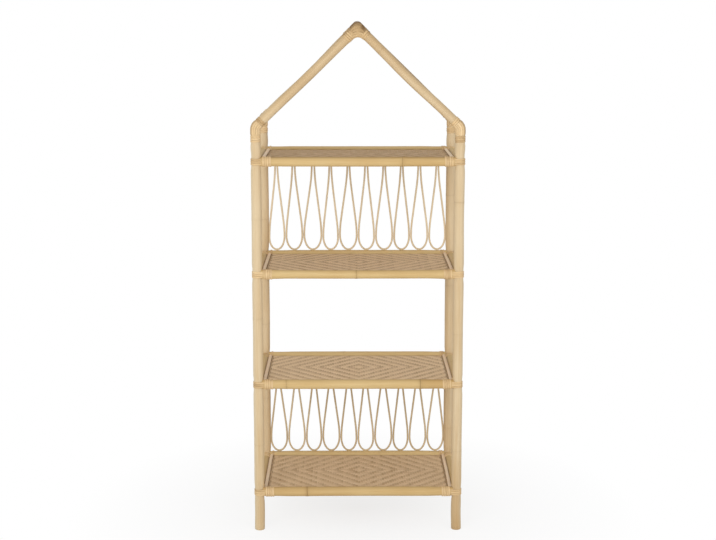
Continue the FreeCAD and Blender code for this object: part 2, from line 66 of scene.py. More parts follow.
def middle_and_half(node, axis):
    low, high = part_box(node)
    return round((low[axis] + high[axis]) / 2, 5), round((high[axis] - low[axis]) / 2, 5)


POST_X, POLE_R = middle_and_half("bottom_shelf_right_rail", 0)
POST_Y, _ = middle_and_half("bottom_shelf_rear_rail", 1)
RAIL_Z = {level: middle_and_half(f"{level}_shelf_front_rail", 2)[0] for level in LEVELS}


# Settings that a user would change


def number_setting(name, description, default, **kind):
    return bpy.props.FloatProperty(name=name, description=description, default=default, **kind)


def length_setting(name, description, default):
    return number_setting(name, description, default, unit="LENGTH")


def angle_setting(name, description, degrees):
    return number_setting(name, description, math.radians(degrees), subtype="ANGLE")


def count_setting(name, description, default, least=1):
    return bpy.props.IntProperty(name=name, description=description, default=default, min=least)


def row_setting(name, description, default, **kind):
    row = {"name": name, "description": description, "default": default, "size": len(default)}
    return bpy.props.FloatVectorProperty(**row, **kind)


def colour_setting(name, description, default):
    return row_setting(name, description, default, subtype="COLOR")


class PoleSettings(bpy.types.PropertyGroup):
    """Rattan poles of the frame"""

    eave_height: length_setting("Eave height", "Floor to the corner of post and rafter axes", 1.0185)
    apex_height: length_setting("Apex height", "Floor to the corner of the rafter axes", 1.2565)
    elbow_radius: length_setting("Elbow radius", "Bend of the axis at the eave", 0.016)
    ring_swelling: length_setting("Ring swelling", "Height of the swelling at a growth ring", 0.0005)
    ring_groove: length_setting("Ring groove", "Depth of the scar line of a growth ring", 0.0005)
    bow: length_setting("Bow", "Most that a pole strays from its axis between two joints", 0.0004)
    swell: length_setting("Swell", "Extra radius of a post between its joints", 0.0012)
    rear_lift: length_setting("Rear lift", "Rear apex above the front apex, as hand-bent poles come out", 0.0034)
    post_colour: colour_setting("Post colour", "Posts and rafters", (0.69, 0.52, 0.305))
    rail_colour: colour_setting("Rail colour", "Shelf rails", (0.66, 0.46, 0.205))


class WeaveSettings(bpy.types.PropertyGroup):
    """Woven mats and their side trims"""

    strip_pitch: length_setting("Strip pitch", "Between neighbouring strips of the weave", 0.0062)
    float_length: count_setting("Float length", "Strips that a strip passes over, and then under", 3)
    strip_fill: number_setting("Strip fill", "Strip width as a share of the pitch", 1.0, subtype="FACTOR")
    strip_thickness: length_setting("Strip thickness", "Thickness of a woven strip", 0.0009)
    centre_behind: length_setting("Centre behind", "Diamond centre behind the mat's middle", 0.010)
    strip_colour: colour_setting("Strip colour", "Woven strips", (0.81, 0.59, 0.36))
    trim_width: length_setting("Trim width", "Width of a half-round side trim", 0.0084)
    trim_rise: length_setting("Trim rise", "Height of a half-round side trim", 0.0034)
    trim_colour: colour_setting("Trim colour", "Half-round side trims", (0.97, 0.71, 0.475))


class LoopSettings(bpy.types.PropertyGroup):
    """Bent loops of the back panels"""

    count: count_setting("Loops", "Loops in a panel", 10, 2)
    strand: length_setting("Strand", "Diameter of the bent strand", 0.005)
    neck: length_setting("Neck", "Between the strand axes under the upper rail", 0.0058)
    neck_length: length_setting("Neck length", "Straight stretch under the upper rail", 0.016)
    unevenness: length_setting("Unevenness", "Most that a loop strays from its even place", 0.002)
    colour: colour_setting("Loop colour", "Bent strands", (0.645, 0.505, 0.305))


class BindingSettings(bpy.types.PropertyGroup):
    """Rattan peel straps and windings"""

    strip_width: length_setting("Strip width", "Width of a peel strip", 0.005)
    strip_rise: length_setting("Strip rise", "Crown of a strip above the pole", 0.0013)
    turn_pitch: length_setting("Turn pitch", "Between neighbouring turns", 0.005477)
    rail_turns: number_setting("Rail turns", "Turns on a front or side rail", 4.0)
    rear_turns: number_setting("Rear turns", "Turns on a rear rail", 1.5)
    eave_post_turns: number_setting("Post turns", "Turns below an elbow", 3.0)
    eave_rafter_turns: number_setting("Rafter turns", "Turns above an elbow", 2.0)
    apex_turns: row_setting("Apex turns", "Turns left and right of an apex", (4.0, 2.0))
    corner_straps: count_setting("Corner straps", "Straps round a shelf corner", 3)
    elbow_straps: count_setting("Elbow straps", "Straps along an elbow or apex", 13)
    apex_reach: length_setting("Apex reach", "Length of an apex strap on each rafter", 0.016)
    elbow_reach: row_setting(
        "Elbow reach", "Straps past the bend, down the post and up the rafter", (0.0115, 0.003), unit="LENGTH"
    )
    colour: colour_setting("Peel colour", "Straps and windings", (0.76, 0.54, 0.285))


class StageSettings(bpy.types.PropertyGroup):
    """Floor, light and camera"""

    floor_colour: colour_setting("Floor colour", "Pale plain floor", (0.93, 0.93, 0.93))
    sky_strength: number_setting("Sky strength", "Even light from all round", 0.52)
    key_power: number_setting("Key power", "Large lamp at the front left", 41.0)
    fill_power: number_setting("Fill power", "Large lamp at the front right", 23.0)
    camera_place: row_setting("Camera place", "Camera's position", (-0.0214, -3.477, 1.263), subtype="TRANSLATION")
    camera_pitch: angle_setting("Camera pitch", "Angle below the horizon", 8.82)
    camera_yaw: angle_setting("Camera yaw", "Turn about the vertical", -0.37)
    camera_lens: number_setting("Camera lens", "Focal length in millimetres", 69.03)
    camera_shift: number_setting("Camera shift", "Upright lens shift", -0.045)


# Random draws, and curves that ease

# Each kind of piece has a hundred seeds of its own
SEEDS = ("post", "rafter", "rail", "corner", "eave", "apex", "mat", "trim", "loop")
GRAIN_RUN = 10  # length of cane from which each strand's grain is cut
WAVES = ((0.6, 1.0), (0.3, 0.43), (0.2, 0.19))  # share and length of the waves in a drift
DRIFTS = {  # size and wavelength. Windings drift by their angle, and all else by length
    "pole radius": (0.12 * MM, 0.31),
    "pole tone": (1.0, 0.4),
    "strip width": (0.03, 0.045),
    "strip rise": (0.06, 0.03),
    "strip tone": (0.35, 0.11),
    "winding place": (0.09 * MM, 9.0),
    "winding tone": (0.7, 11.0),
    "strap height": (0.1 * MM, 0.06),
    "woven place": (0.1 * MM, 0.12),
    "woven tone": (0.3, 0.2),
    "trim place": (0.15 * MM, 0.2),
    "loop depth": (0.25 * MM, 0.4),
    "loop radius": (0.06 * MM, 0.06),
    "loop tone": (0.5, 0.15),
}
# Spread of the tone from strand to strand
SPREADS = {"pole": 0.3, "winding": 0.4, "strap": 0.6, "woven": 0.35, "trim": 0.3, "loop": 0.45}


def dice(kind, number):
    """Random draws of one piece, the same on each run."""
    return np.random.default_rng(100 * (1 + SEEDS.index(kind)) + number)


def own_tone(rng, kind):
    return rng.normal(0, SPREADS[kind])


def wander(rng, along, drift):
    """Smooth random drift along a strand."""
    size, wavelength = DRIFTS[drift]
    total = np.zeros_like(along)
    for share, stretch in WAVES:
        total += share * np.sin(TURN * (along / (wavelength * stretch) + rng.random()))
    return size * total


def smooth(share):
    """0 to 1 with a soft start and a soft end. Shares past either end are cut off."""
    share = np.clip(share, 0, 1)
    return share * share * (3 - 2 * share)


def eased(share, start, end):
    """0 to 1, straight but for a bend over the start and another over the end."""
    rise = np.where(share < start, share**2 / (2 * start), share - start / 2)
    rise = rise - np.maximum(share - 1 + end, 0) ** 2 / (2 * end)
    return rise / (1 - start / 2 - end / 2)


def bell(distance, width):
    """1 at no distance, falling off to both sides."""
    return np.exp(-((distance / width) ** 2))


# Meshes made of strands

# tone carries painted light and shade besides the drift of the colour; ring carries the growth-ring scars and painted
# shade
LAYERS = {"cane": ("FLOAT_VECTOR", "vector"), "tone": ("FLOAT", "value"), "ring": ("FLOAT", "value")}
SHARP_EDGE = math.radians(55)
MAP_GAP = 0.1  # between the parts of a strand's map, as a share of its girth
MAP_MARGIN = 0.004


def unit(vectors):
    return vectors / np.linalg.norm(vectors, axis=-1, keepdims=True)


def round_angles(count):
    return TURN * np.arange(count) / count


def sums(steps):
    """0, and then the sum of the steps up to each."""
    return np.concatenate([[0], np.cumsum(steps)])


def run(points):
    """Length of a path up to each of its points."""
    return sums(np.linalg.norm(np.diff(points, axis=0), axis=1))


def swept(point, across, out, a, b):
    """Grid of points: at each point of the path, an outline with a along across and b along out."""
    return point[:, None, :] + across[:, None, :] * a[..., None] + out[:, None, :] * b[..., None]


def strand_places(along, a, b, rng):
    """Coordinates for the grain: along the strand, from a random start, and across it."""
    return np.stack([np.broadcast_to(along + GRAIN_RUN * rng.random(), a.shape), a, b], axis=-1)


def with_ends(grid):
    """Rows of a grid, and the middles of its first and last ring."""
    return np.concatenate([grid.reshape(-1, 3), grid[0].mean(axis=0)[None], grid[-1].mean(axis=0)[None]])


def single(values):
    return values.astype(np.float32).ravel()


class Strands:
    """Closed strands of one piece: points, faces, values for the material and a map with a place for each strand."""

    def __init__(self):
        self.points, self.quads, self.tris, self.patches = [], [], [], []
        self.layers = {name: [] for name in LAYERS}
        self.size = 0

    def add(self, grid, cane, tone=0.0, ring=0.0, shares=None):
        """A grid of points, station by station round the strand, becomes a closed skin with two fans as its ends.
        cane holds the coordinates for the grain, tone the drift of the colour with its painted light and shade, and
        ring the strength of dark marks: growth-ring scars and painted shade."""
        n, k = grid.shape[:2]
        index = np.arange(n * k).reshape(n, k)
        after = np.roll(index, -1, axis=1)
        quads = np.stack([index[:-1], after[:-1], after[1:], index[1:]], axis=-1).reshape(-1, 4)
        first = np.stack([after[0], index[0], np.full(k, n * k)], axis=-1)
        last = np.stack([index[-1], after[-1], np.full(k, n * k + 1)], axis=-1)
        tris = np.concatenate([first, last])
        points = with_ends(grid)
        flipped = skin_volume(points, quads, tris) < 0
        if flipped:
            quads, tris = quads[:, ::-1], tris[:, ::-1]
        self.points.append(points)
        self.quads.append(self.size + quads)
        self.tris.append(self.size + tris)
        self.patches.append(strand_map(grid, shares, flipped))
        self.size += len(points)
        tones, rings = (np.broadcast_to(values, (n, k)).ravel() for values in (tone, ring))
        self.layers["cane"].append(with_ends(cane))
        self.layers["tone"].append(np.concatenate([tones, tones[:1], tones[-1:]]))
        self.layers["ring"].append(np.concatenate([rings, [0.0, 0.0]]))

    def mesh(self, name):
        points, quads, tris = (np.concatenate(part) for part in (self.points, self.quads, self.tris))
        corners = np.concatenate([quads.ravel(), tris.ravel()])
        starts = np.concatenate([4 * np.arange(len(quads)), 4 * len(quads) + 3 * np.arange(len(tris))])
        mesh = bpy.data.meshes.new(name)
        mesh.vertices.add(len(points))
        mesh.vertices.foreach_set("co", single(points))
        mesh.loops.add(len(corners))
        mesh.loops.foreach_set("vertex_index", corners.astype(np.int32))
        mesh.polygons.add(len(starts))
        mesh.polygons.foreach_set("loop_start", starts.astype(np.int32))
        mesh.update(calc_edges=True)
        for layer, (kind, field) in LAYERS.items():
            values = np.concatenate(self.layers[layer])
            mesh.attributes.new(layer, kind, "POINT").data.foreach_set(field, single(values))
        mesh.uv_layers.new(name="OFBake").data.foreach_set("uv", single(packed(self.patches)))
        mesh.shade_smooth()
        mesh.set_sharp_from_angle(angle=SHARP_EDGE)
        return mesh


def skin_volume(points, quads, tris):
    corners = np.concatenate([quads[:, [0, 1, 2]], quads[:, [0, 2, 3]], tris])
    a, b, c = (points[corners[:, i]] for i in range(3))
    return np.einsum("ij,ij->i", a, np.cross(b, c)).sum() / 6


def strand_map(grid, shares, flipped):
    """Flat places, in metres, of a strand's face corners, and the room that they take."""
    n, k = grid.shape[:2]
    along = sums(np.linalg.norm(np.diff(grid, axis=0), axis=2).mean(axis=1))
    girth = np.linalg.norm(np.roll(grid, -1, axis=1) - grid, axis=2).mean(axis=0)
    if shares is not None:
        girth = girth.sum() * np.asarray(shares) / np.sum(shares)
    around = sums(girth)
    u0, u1 = np.repeat(along[:-1], k), np.repeat(along[1:], k)
    v0, v1 = np.tile(around[:-1], n - 1), np.tile(around[1:], n - 1)
    skin = np.stack([np.stack(pair, axis=-1) for pair in ((u0, v0), (u0, v1), (u1, v1), (u1, v0))], axis=1)
    radius, gap = around[-1] / TURN, MAP_GAP * around[-1]
    angle = TURN * around / around[-1]
    rim = np.stack([np.cos(angle), np.sin(angle)], axis=-1) * radius
    fans = []
    for number, order in enumerate((1, -1)):
        hub = np.array([along[-1] + gap + radius + number * (2 * radius + gap), radius])
        pair = (rim[1:] + hub, rim[:-1] + hub)[::order]
        fans.append(np.stack([*pair, np.broadcast_to(hub, (k, 2))], axis=1))
    fans = np.concatenate(fans)
    if flipped:
        skin, fans = skin[:, ::-1], fans[:, ::-1]
    return skin, fans, (along[-1] + 4 * radius + 3 * gap, around[-1] + gap)


def packed(patches):
    """Places of all face corners, the strands set in rows on a square."""
    widest = max(room[0] for _, _, room in patches)
    area = sum(room[0] * room[1] for _, _, room in patches)
    width = max(widest, math.sqrt(area))
    x = y = high = 0.0
    skins, fans = [], []
    for skin, fan, room in patches:
        if x + room[0] > width * 1.0001:
            x, y, high = 0.0, y + high, 0.0
        skins.append((skin + [x, y]).reshape(-1, 2))
        fans.append((fan + [x, y]).reshape(-1, 2))
        x, high = x + room[0], max(high, room[1])
    places = np.concatenate(skins + fans)
    return MAP_MARGIN + (1 - 2 * MAP_MARGIN) * places / [width, y + high]


def new_object(name, data):
    made = bpy.data.objects.new(name, data)
    bpy.context.scene.collection.objects.link(made)
    return made


def add_piece(strands, name, material, nodes):
    """A finished piece that rides on the frame and stands for these CAD nodes."""
    mesh = strands.mesh(name)
    mesh.materials.append(material)
    piece = new_object(name, mesh)
    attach(piece, "root")
    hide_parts(*nodes)


# Rattan poles

POLE_TURN = round_angles(28)
STATION = 10 * MM
RING_ROOM = 9 * MM  # on each side of a growth ring, with stations of its own
NEAR_RING = np.array([0.35, 0.7, 1.1, 1.6, 2.3, 3.2, 4.4, 6, 8]) * MM
RING_STEPS = np.concatenate([-NEAR_RING[::-1], [0], NEAR_RING])
SKIN_INSET, OVAL = 0.15 * MM, 0.1 * MM  # of a pole's radius
RING_TILT, TILT_REACH = 1.0 * MM, 10 * MM
SWELLING_WIDTH, GROOVE_WIDTH, LIP_WIDTH = 5 * MM, 0.6 * MM, 0.8 * MM
LIP_AT, LIP_SHARE = 1.2 * MM, 0.6  # beside the groove, and as a share of the swelling
SCAR, STAIN, STAIN_SHARE = 1.2 * MM, 6 * MM, 0.3  # half widths of a ring's line and stain, and the stain's strength
START_ZONE, END_ZONE = 20 * MM, 24 * MM  # stretches in which a fitted end eases off
FIT_GAP = 0.1 * MM  # left at a fitted end


def stations(length, rings):
    """Places along a pole, closer together at its growth rings."""
    even = np.linspace(0, length, max(2, int(round(length / STATION)) + 1))
    for place, _ in rings:
        even = even[np.abs(even - place) > RING_ROOM]
    near = [place + RING_STEPS for place, _ in rings]
    return np.unique(np.concatenate([even, *near]))


def between(along, joints, clear, rise):
    """0 at the joints of a pole, up to clear from each, and 1 once past the rise beyond that."""
    gap = np.abs(along[:, None] - np.asarray(joints)).min(axis=1)
    return smooth((gap - clear) / rise)


def ring_profile(distance, poles):
    """Radial step of a growth ring: a soft swelling, a scar line and the lip beside it."""
    swelling = poles.ring_swelling * bell(distance, SWELLING_WIDTH)
    groove = poles.ring_groove * bell(distance, GROOVE_WIDTH)
    lip = LIP_SHARE * poles.ring_swelling * bell(distance - LIP_AT, LIP_WIDTH)
    return swelling + lip - groove


class Pole:
    """One pole on a path: for each station a point, the direction, and the two directions across it."""

    def __init__(self, along, point, *directions):
        self.along, self.point = along, point
        self.direction, self.across, self.beside = (np.broadcast_to(v, point.shape) for v in directions)

    def stray(self, held, rng, size, lean=(0.0, 0.0)):
        """Bows the pole between the places where it is held, by lean and a random share."""
        amount = np.zeros((len(self.along), 2))
        for low, high in zip(held[:-1], held[1:]):
            inside = (self.along > low) & (self.along < high)
            arch = np.sin(math.pi * (self.along[inside] - low) / (high - low)) ** 2
            amount[inside] += arch[:, None] * (rng.uniform(-size, size, 2) + lean)
        self.point = self.point + self.across * amount[:, :1] + self.beside * amount[:, 1:]

    def skin(self, rings, rng, poles, start=None, end=None, extra=0.0, tone=0.0, painted_shade=0.0, painted_side_light=(0.0, 0.0)):
        """The pole's strand. start and end give how far each side of it begins and stops from the path's ends. Rings
        are places with strengths, extra is added to the radius and tone to the drift of the colour. The last two
        arguments paint light and shade: the strength of a painted shade in dark brown for each of the sides, and the
        painted light that makes the outer and the inner side paler."""
        c, s = np.cos(POLE_TURN), np.sin(POLE_TURN)
        along = np.repeat(self.along[:, None], len(POLE_TURN), axis=1)
        radius = POLE_R - SKIN_INSET + wander(rng, along, "pole radius")
        radius = radius + OVAL * np.cos(2 * POLE_TURN + 6 * rng.random())
        # Painted shade in dark brown, then the growth-ring scars and stains
        mask = np.zeros_like(along) + painted_shade
        shift = np.zeros_like(along)
        for place, strength in rings:
            tilt = RING_TILT * (rng.random() - 0.3) * np.cos(POLE_TURN + 6 * rng.random())
            distance = along - place
            shift += tilt * bell(distance, TILT_REACH)
            radius = radius + math.sqrt(strength) * ring_profile(distance, poles)
            mask = np.maximum(mask, strength * bell(distance, SCAR))
            mask = np.maximum(mask, STAIN_SHARE * strength * bell(distance, STAIN))
        radius = radius + np.reshape(extra, (-1, 1))
        sideways = radius * c
        if start is not None:
            near = 1 - along / START_ZONE
            shift = np.where(near > 0, start(sideways) * near, shift)
        if end is not None:
            near = 1 - (self.along[-1] - along) / END_ZONE
            shift = np.where(near > 0, -end(sideways) * near, shift)
        out = self.across[:, None, :] * c[None, :, None] + self.beside[:, None, :] * s[None, :, None]
        grid = self.point[:, None, :] + out * radius[..., None] + self.direction[:, None, :] * shift[..., None]
        cane = strand_places(along + shift, sideways, radius * s, rng)
        drift = tone + wander(rng, self.along, "pole tone") + own_tone(rng, "pole")
        # Painted light: the outer and the inner side paler
        drift = drift[:, None] + np.where(c > 0, *painted_side_light) * c**2
        strands = Strands()
        strands.add(grid, cane, drift, mask)
        return strands


class Gable:
    """Sizes of the front or rear gable: its apex, its slope and the elbow between post and rafter."""

    def __init__(self, poles, face):
        self.face = face
        self.apex = poles.apex_height + (poles.rear_lift if face > 0 else 0.0)
        self.slope = math.atan2(self.apex - poles.eave_height, POST_X)
        self.turn = math.pi / 2 - self.slope
        self.radius = poles.elbow_radius
        self.bend = self.radius * self.turn
        self.tangent = self.radius * math.tan(self.turn / 2)
        self.base = poles.eave_height - self.tangent

    def path(self, side, along, bend_from):
        """A pole that runs straight up a post, round the elbow from bend_from on, and up the rafter."""
        angle = np.clip((along - bend_from) / self.radius, 0, self.turn)
        before = np.minimum(along - bend_from, 0)
        after = np.maximum(along - bend_from - self.bend, 0)
        c, s = np.cos(angle), np.sin(angle)
        zero = np.zeros_like(c)
        across = np.stack([side * c, zero, s], axis=-1)
        direction = np.stack([-side * s, zero, c], axis=-1)
        centre = np.array([side * (POST_X - self.radius), self.face * POST_Y, self.base])
        point = centre + self.radius * across + direction * (before + after)[:, None]
        return Pole(along, point, direction, across, ALONG_Y * side)


BEND_STEPS = 6  # stations in half of an elbow
FOOT_STEPS = np.array([0, 0.4, 1.0]) * MM  # stations of the edge that is rounded off
EAVE_HELD, EAVE_JOINT = 0.04, 0.018  # below the bend: where a post is held, and its binding
JOINT_CLEAR, JOINT_RISE = 10 * MM, 16 * MM
FOOT_STAIN = 0.14
POST_BOW = -0.6  # towards the inside, as a share of the swell
POST_RINGS = {  # height and strength
    "front_left": ((0.222, 0.12), (0.545, 0.16), (0.792, 0.1)),
    "front_right": ((0.205, 0.14), (0.505, 0.12), (0.834, 0.3)),
    "rear_left": ((0.262, 0.2), (0.468, 0.2), (0.752, 0.2)),
    "rear_right": ((0.178, 0.2), (0.572, 0.16), (0.816, 0.2)),
}
POST_TONES = {  # drift of the colour at the foot and at the top, and painted light that makes the outer side and the inner side paler
    "front_left": (-1.6, 0.2, 7.5, 2.0),
    "front_right": (-4.8, 0.3, 5.0, 3.0),
    "rear_left": (-0.6, 2.2, 0.0, 0.0),
    "rear_right": (0.4, 3.2, 0.0, 0.0),
}


class BOOKSHELF_OT_posts(bpy.types.Operator):
    """Make the four posts"""

    bl_idname = "bookshelf.posts"
    bl_label = "Posts"

    def execute(self, context):
        poles = context.scene.bookshelf_poles
        material = rattan_material("Post and rafter cane", "pole", poles.post_colour)
        for corner, face, side in CORNERS:
            rng = dice("post", 10 * face + side)
            gable, rings = Gable(poles, face), POST_RINGS[corner]
            base = gable.base
            bend = base + gable.bend / 2 * np.arange(1, BEND_STEPS + 1) / BEND_STEPS
            along = np.unique(np.concatenate([FOOT_STEPS, stations(base, rings)[1:], bend]))
            pole = gable.path(side, along, base)
            drawn_in = POST_BOW * poles.swell * np.array([1, face * side])
            pole.stray([0.0, *RAIL_Z.values(), base - EAVE_HELD], rng, poles.bow, drawn_in)
            extra = between(along, [*RAIL_Z.values(), base, base - EAVE_JOINT], JOINT_CLEAR, JOINT_RISE)
            extra = poles.swell * extra - np.maximum(FOOT_STEPS[-1] - along, 0)
            foot, top, *painted_side_light = POST_TONES[corner]
            tone = foot * bell(along, FOOT_STAIN) + top * along / base
            strands = pole.skin(rings, rng, poles, extra=extra, tone=tone, painted_side_light=painted_side_light)
            add_piece(strands, f"{corner}_post_pole", material, [f"{corner}_post"])
        return {"FINISHED"}


RAFTER_HELD = 0.05  # from each end
TOP_EDGE_OFF = 0.12  # share of the mitre by which the top edge leans back
RAFTER_RINGS = {  # distance from the apex, and strength
    "front_left": ((0.196, 0.1),),
    "front_right": ((0.077, 0.3), (0.262, 0.1)),
    "rear_left": ((0.128, 0.3),),
    "rear_right": ((0.214, 0.3),),
}
RAFTER_MARKS = {  # drift of the colour at the apex, painted shade for rafters that catch more light, bow away from the roof's inside, and painted shade in dark brown on top
    "front_left": (-3.0, -0.0008, 0.0),
    "front_right": (-2.7, -0.003, 0.0),
    "rear_left": (-3.4, -0.003, 0.0),
    "rear_right": (-4.5, 0.0006, 0.6),
}


class BOOKSHELF_OT_rafters(bpy.types.Operator):
    """Make the rafters of both gables"""

    bl_idname = "bookshelf.rafters"
    bl_label = "Rafters"

    def execute(self, context):
        poles = context.scene.bookshelf_poles
        material = rattan_material("Post and rafter cane", "pole", poles.post_colour)

        def mitre(sideways):
            """The mitre at the apex, with its sharp top edge taken off."""
            return np.where(sideways > 0, TOP_EDGE_OFF, -1.0) * sideways * math.tan(gable.slope) + FIT_GAP

        for corner, face, side in CORNERS:
            rng = dice("rafter", 10 * face + side)
            gable = Gable(poles, face)
            half_bend = gable.bend / 2
            length = half_bend + POST_X / math.cos(gable.slope) - gable.tangent
            rings = [(length - place, strength) for place, strength in RAFTER_RINGS[corner]]
            straight = stations(length - half_bend, [(place - half_bend, strength) for place, strength in rings])
            along = np.concatenate([half_bend * np.arange(BEND_STEPS) / BEND_STEPS, half_bend + straight])
            pole = gable.path(side, np.unique(along), -half_bend)
            tone, lean, painted_top_shade = RAFTER_MARKS[corner]
            pole.stray([RAFTER_HELD, length - RAFTER_HELD], rng, poles.bow, (lean, 0.0))
            # Painted shade in dark brown on the rafter's upper side
            painted_shade = painted_top_shade * (np.cos(POLE_TURN) > 0.5)
            strands = pole.skin(rings, rng, poles, end=mitre, tone=tone * pole.along / length, painted_shade=painted_shade)
            add_piece(strands, f"{corner}_rafter_pole", material, [f"{corner}_rafter"])
        return {"FINISHED"}


RAIL_HELD = 0.035  # from each end
RAIL_SWELL_SHARE = 0.5  # of a post's swell
RAIL_CLEAR, RAIL_RISE = 37 * MM, 40 * MM
# The second is the width of the painted shade along a rail
TONE_STEP, PAINTED_SHADE_WIDTH = 4 * MM, 3 * MM
RAILS = {  # direction, outward side, half length, distance from the middle, and number of its random draws
    "front": (ALONG_X, -ALONG_Y, POST_X, POST_Y, 107),
    "rear": (ALONG_X, ALONG_Y, POST_X, POST_Y, 118),
    "left": (ALONG_Y, -ALONG_X, POST_Y, POST_X, 112),
    "right": (ALONG_Y, ALONG_X, POST_Y, POST_X, 119),
}
RAIL_RINGS = {  # distance from the middle and strength, for the front, rear, left and right rail
    "bottom": (((-0.128, 1.0),), ((0.062, 0.2),), ((0.021, 0.3),), ((-0.048, 0.3),)),
    "lower": (((-0.178, 0.6), (0.155, 1.0)), ((-0.036, 0.2),), ((-0.057, 0.3),), ((0.033, 0.3),)),
    "upper": (((-0.004, 0.7),), ((0.121, 0.2),), ((0.064, 0.3),), ((0.012, 0.3),)),
    "top": (((0.108, 0.8),), ((-0.091, 0.2),), ((-0.018, 0.3),), ((0.059, 0.3),)),
}
RAIL_TONES = {  # drift of the colour, and the place from which a further drift runs to the rail's end. The rear rails' drift is painted light, lifting them where they lie in shade
    "front": (0.0, 0.0, 0.0),
    "rear": (4.2, 0.0, 0.0),
    "left": (3.0, 0.0, 0.0),
    "right": (3.0, 0.0, 0.0),
    ("bottom", "front"): (-1.7, -0.128, 0.5),
    ("lower", "front"): (1.2, 0.155, -2.6),
    ("top", "front"): (0.2, 0.108, -1.2),
    ("top", "rear"): (2.5, 0.0, 0.0),
}
RAIL_PAINTED_SHADE = {  # height above the axis of painted shade in dark brown, on the inner side or both sides of a front rail, and its strength
    "front": (0.0, 0.0),
    "rear": (0.002, 0.25),
    "left": (0.005, 1.2),
    "right": (0.005, 1.2),
    ("top", "front"): (0.0118, 0.7),
    ("top", "rear"): (0.003, 0.9),
}
RAIL_SWELL = {("upper", "front"): -0.9 * MM}  # extra radius between the joints, where it isn't the usual one


class BOOKSHELF_OT_rails(bpy.types.Operator):
    """Make the front, rear and side rails of the shelves"""

    bl_idname = "bookshelf.rails"
    bl_label = "Shelf rails"

    def execute(self, context):
        poles = context.scene.bookshelf_poles
        material = rattan_material("Shelf rail cane", "pole", poles.rail_colour)
        for number, level in enumerate(LEVELS):
            for name, marks in zip(RAILS, RAIL_RINGS[level]):
                direction, across, span, away, draw = RAILS[name]
                rng = dice("rail", 10 * number + draw)
                rings = [(span + place, strength) for place, strength in marks]
                along = stations(2 * span, rings)
                beside = np.cross(direction, across)
                point = across * away + UP * RAIL_Z[level] + direction * (along - span)[:, None]
                pole = Pole(along, point, direction, across, beside)
                pole.stray([RAIL_HELD, 2 * span - RAIL_HELD], rng, poles.bow)
                swell = RAIL_SWELL.get((level, name), RAIL_SWELL_SHARE * poles.swell)
                extra = swell * between(along, [0.0, 2 * span], RAIL_CLEAR, RAIL_RISE)
                # A rear rail's drift is painted light, lifting it where it lies in shade
                tone, tone_from, further = RAIL_TONES.get((level, name), RAIL_TONES[name])
                tone = tone + further * np.clip((along - span - tone_from) / TONE_STEP, 0, 1)
                # Painted shade in dark brown along the rail, on its inner side, and on both sides of a front rail
                height, strength = RAIL_PAINTED_SHADE.get((level, name), RAIL_PAINTED_SHADE[name])
                painted_shade = strength * bell(beside[2] * POLE_R * np.sin(POLE_TURN) - height, PAINTED_SHADE_WIDTH)
                painted_shade = painted_shade * ((np.cos(POLE_TURN) < 0) | (name == "front"))
                strands = pole.skin(rings, rng, poles, self.cope, self.cope, extra, tone, painted_shade)
                node = f"{level}_shelf_{name}_rail"
                add_piece(strands, f"{node}_pole", material, [node])
        return {"FINISHED"}

    @staticmethod
    def cope(sideways):
        """Rail end fitted to the round post, and to the neighbouring rail on the inner side."""
        hollow = np.sqrt(np.maximum(POLE_R**2 - sideways**2, 0))
        return np.maximum(hollow, -sideways) + FIT_GAP


# Strips of peel, and half-round trims

CROWN = [(-0.5, 0.0), (-0.49, 0.38), (-0.40, 0.76), (-0.2, 0.97), (0.0, 1.0)]
STRIP_OUTLINE = np.array(CROWN + [(-a, b) for a, b in CROWN[-2::-1]])  # over the crown, then back along the flat side
STRIP_SHARES = (1, 1.4, 2, 2, 2, 2, 1.4, 1, 2)
STRIP_STEP = 2.4 * MM
END_RISE = 0.25  # share of a strip's rise that is left where its end is tucked in
WINDING_R, STRAP_R = POLE_R + 0.02 * MM, POLE_R + 0.03 * MM
STRAP_GAP = 0.3 * MM  # strap to the first turn beside it
TUCK, CORNER_TUCK = 2.2 * MM, 1.5 * MM  # length of a strap that runs in under that turn
WINDING_SINK, STRAP_SINK = 5 * MM, 4 * MM
SQUARE = 0.65  # share of a turn's pitch that it steps on by at once, on the hidden side
STEP_FROM, STEP_OVER = 0.3, 0.4  # shares of a turn at which that step begins, and that it takes


def add_strip(strands, point, out, rng, width, rise, tone=0.0, sink=0.0, painted_shade=0.0):
    """A strip along the points, its crown turned out. sink is the length at each end that goes down to the pole, and
    the last argument the strength of painted shade in dark brown along it."""
    direction = unit(np.gradient(point, axis=0))
    out = unit(out - direction * np.einsum("ij,ij->i", out, direction)[:, None])
    along = run(point)
    wide = width * (1 + wander(rng, along, "strip width"))
    high = rise * (1 + wander(rng, along, "strip rise"))
    if sink:
        high = high * (END_RISE + (1 - END_RISE) * smooth(np.minimum(along, along[-1] - along) / sink))
    a, b = STRIP_OUTLINE[:, 0] * wide[:, None], STRIP_OUTLINE[:, 1] * high[:, None]
    cane = strand_places(along[:, None], a, b, rng)
    drift = tone + wander(rng, along, "strip tone")
    grid = swept(point, np.cross(direction, out), out, a, b)
    strands.add(grid, cane, drift[:, None], np.reshape(painted_shade, (-1, 1)), STRIP_SHARES)


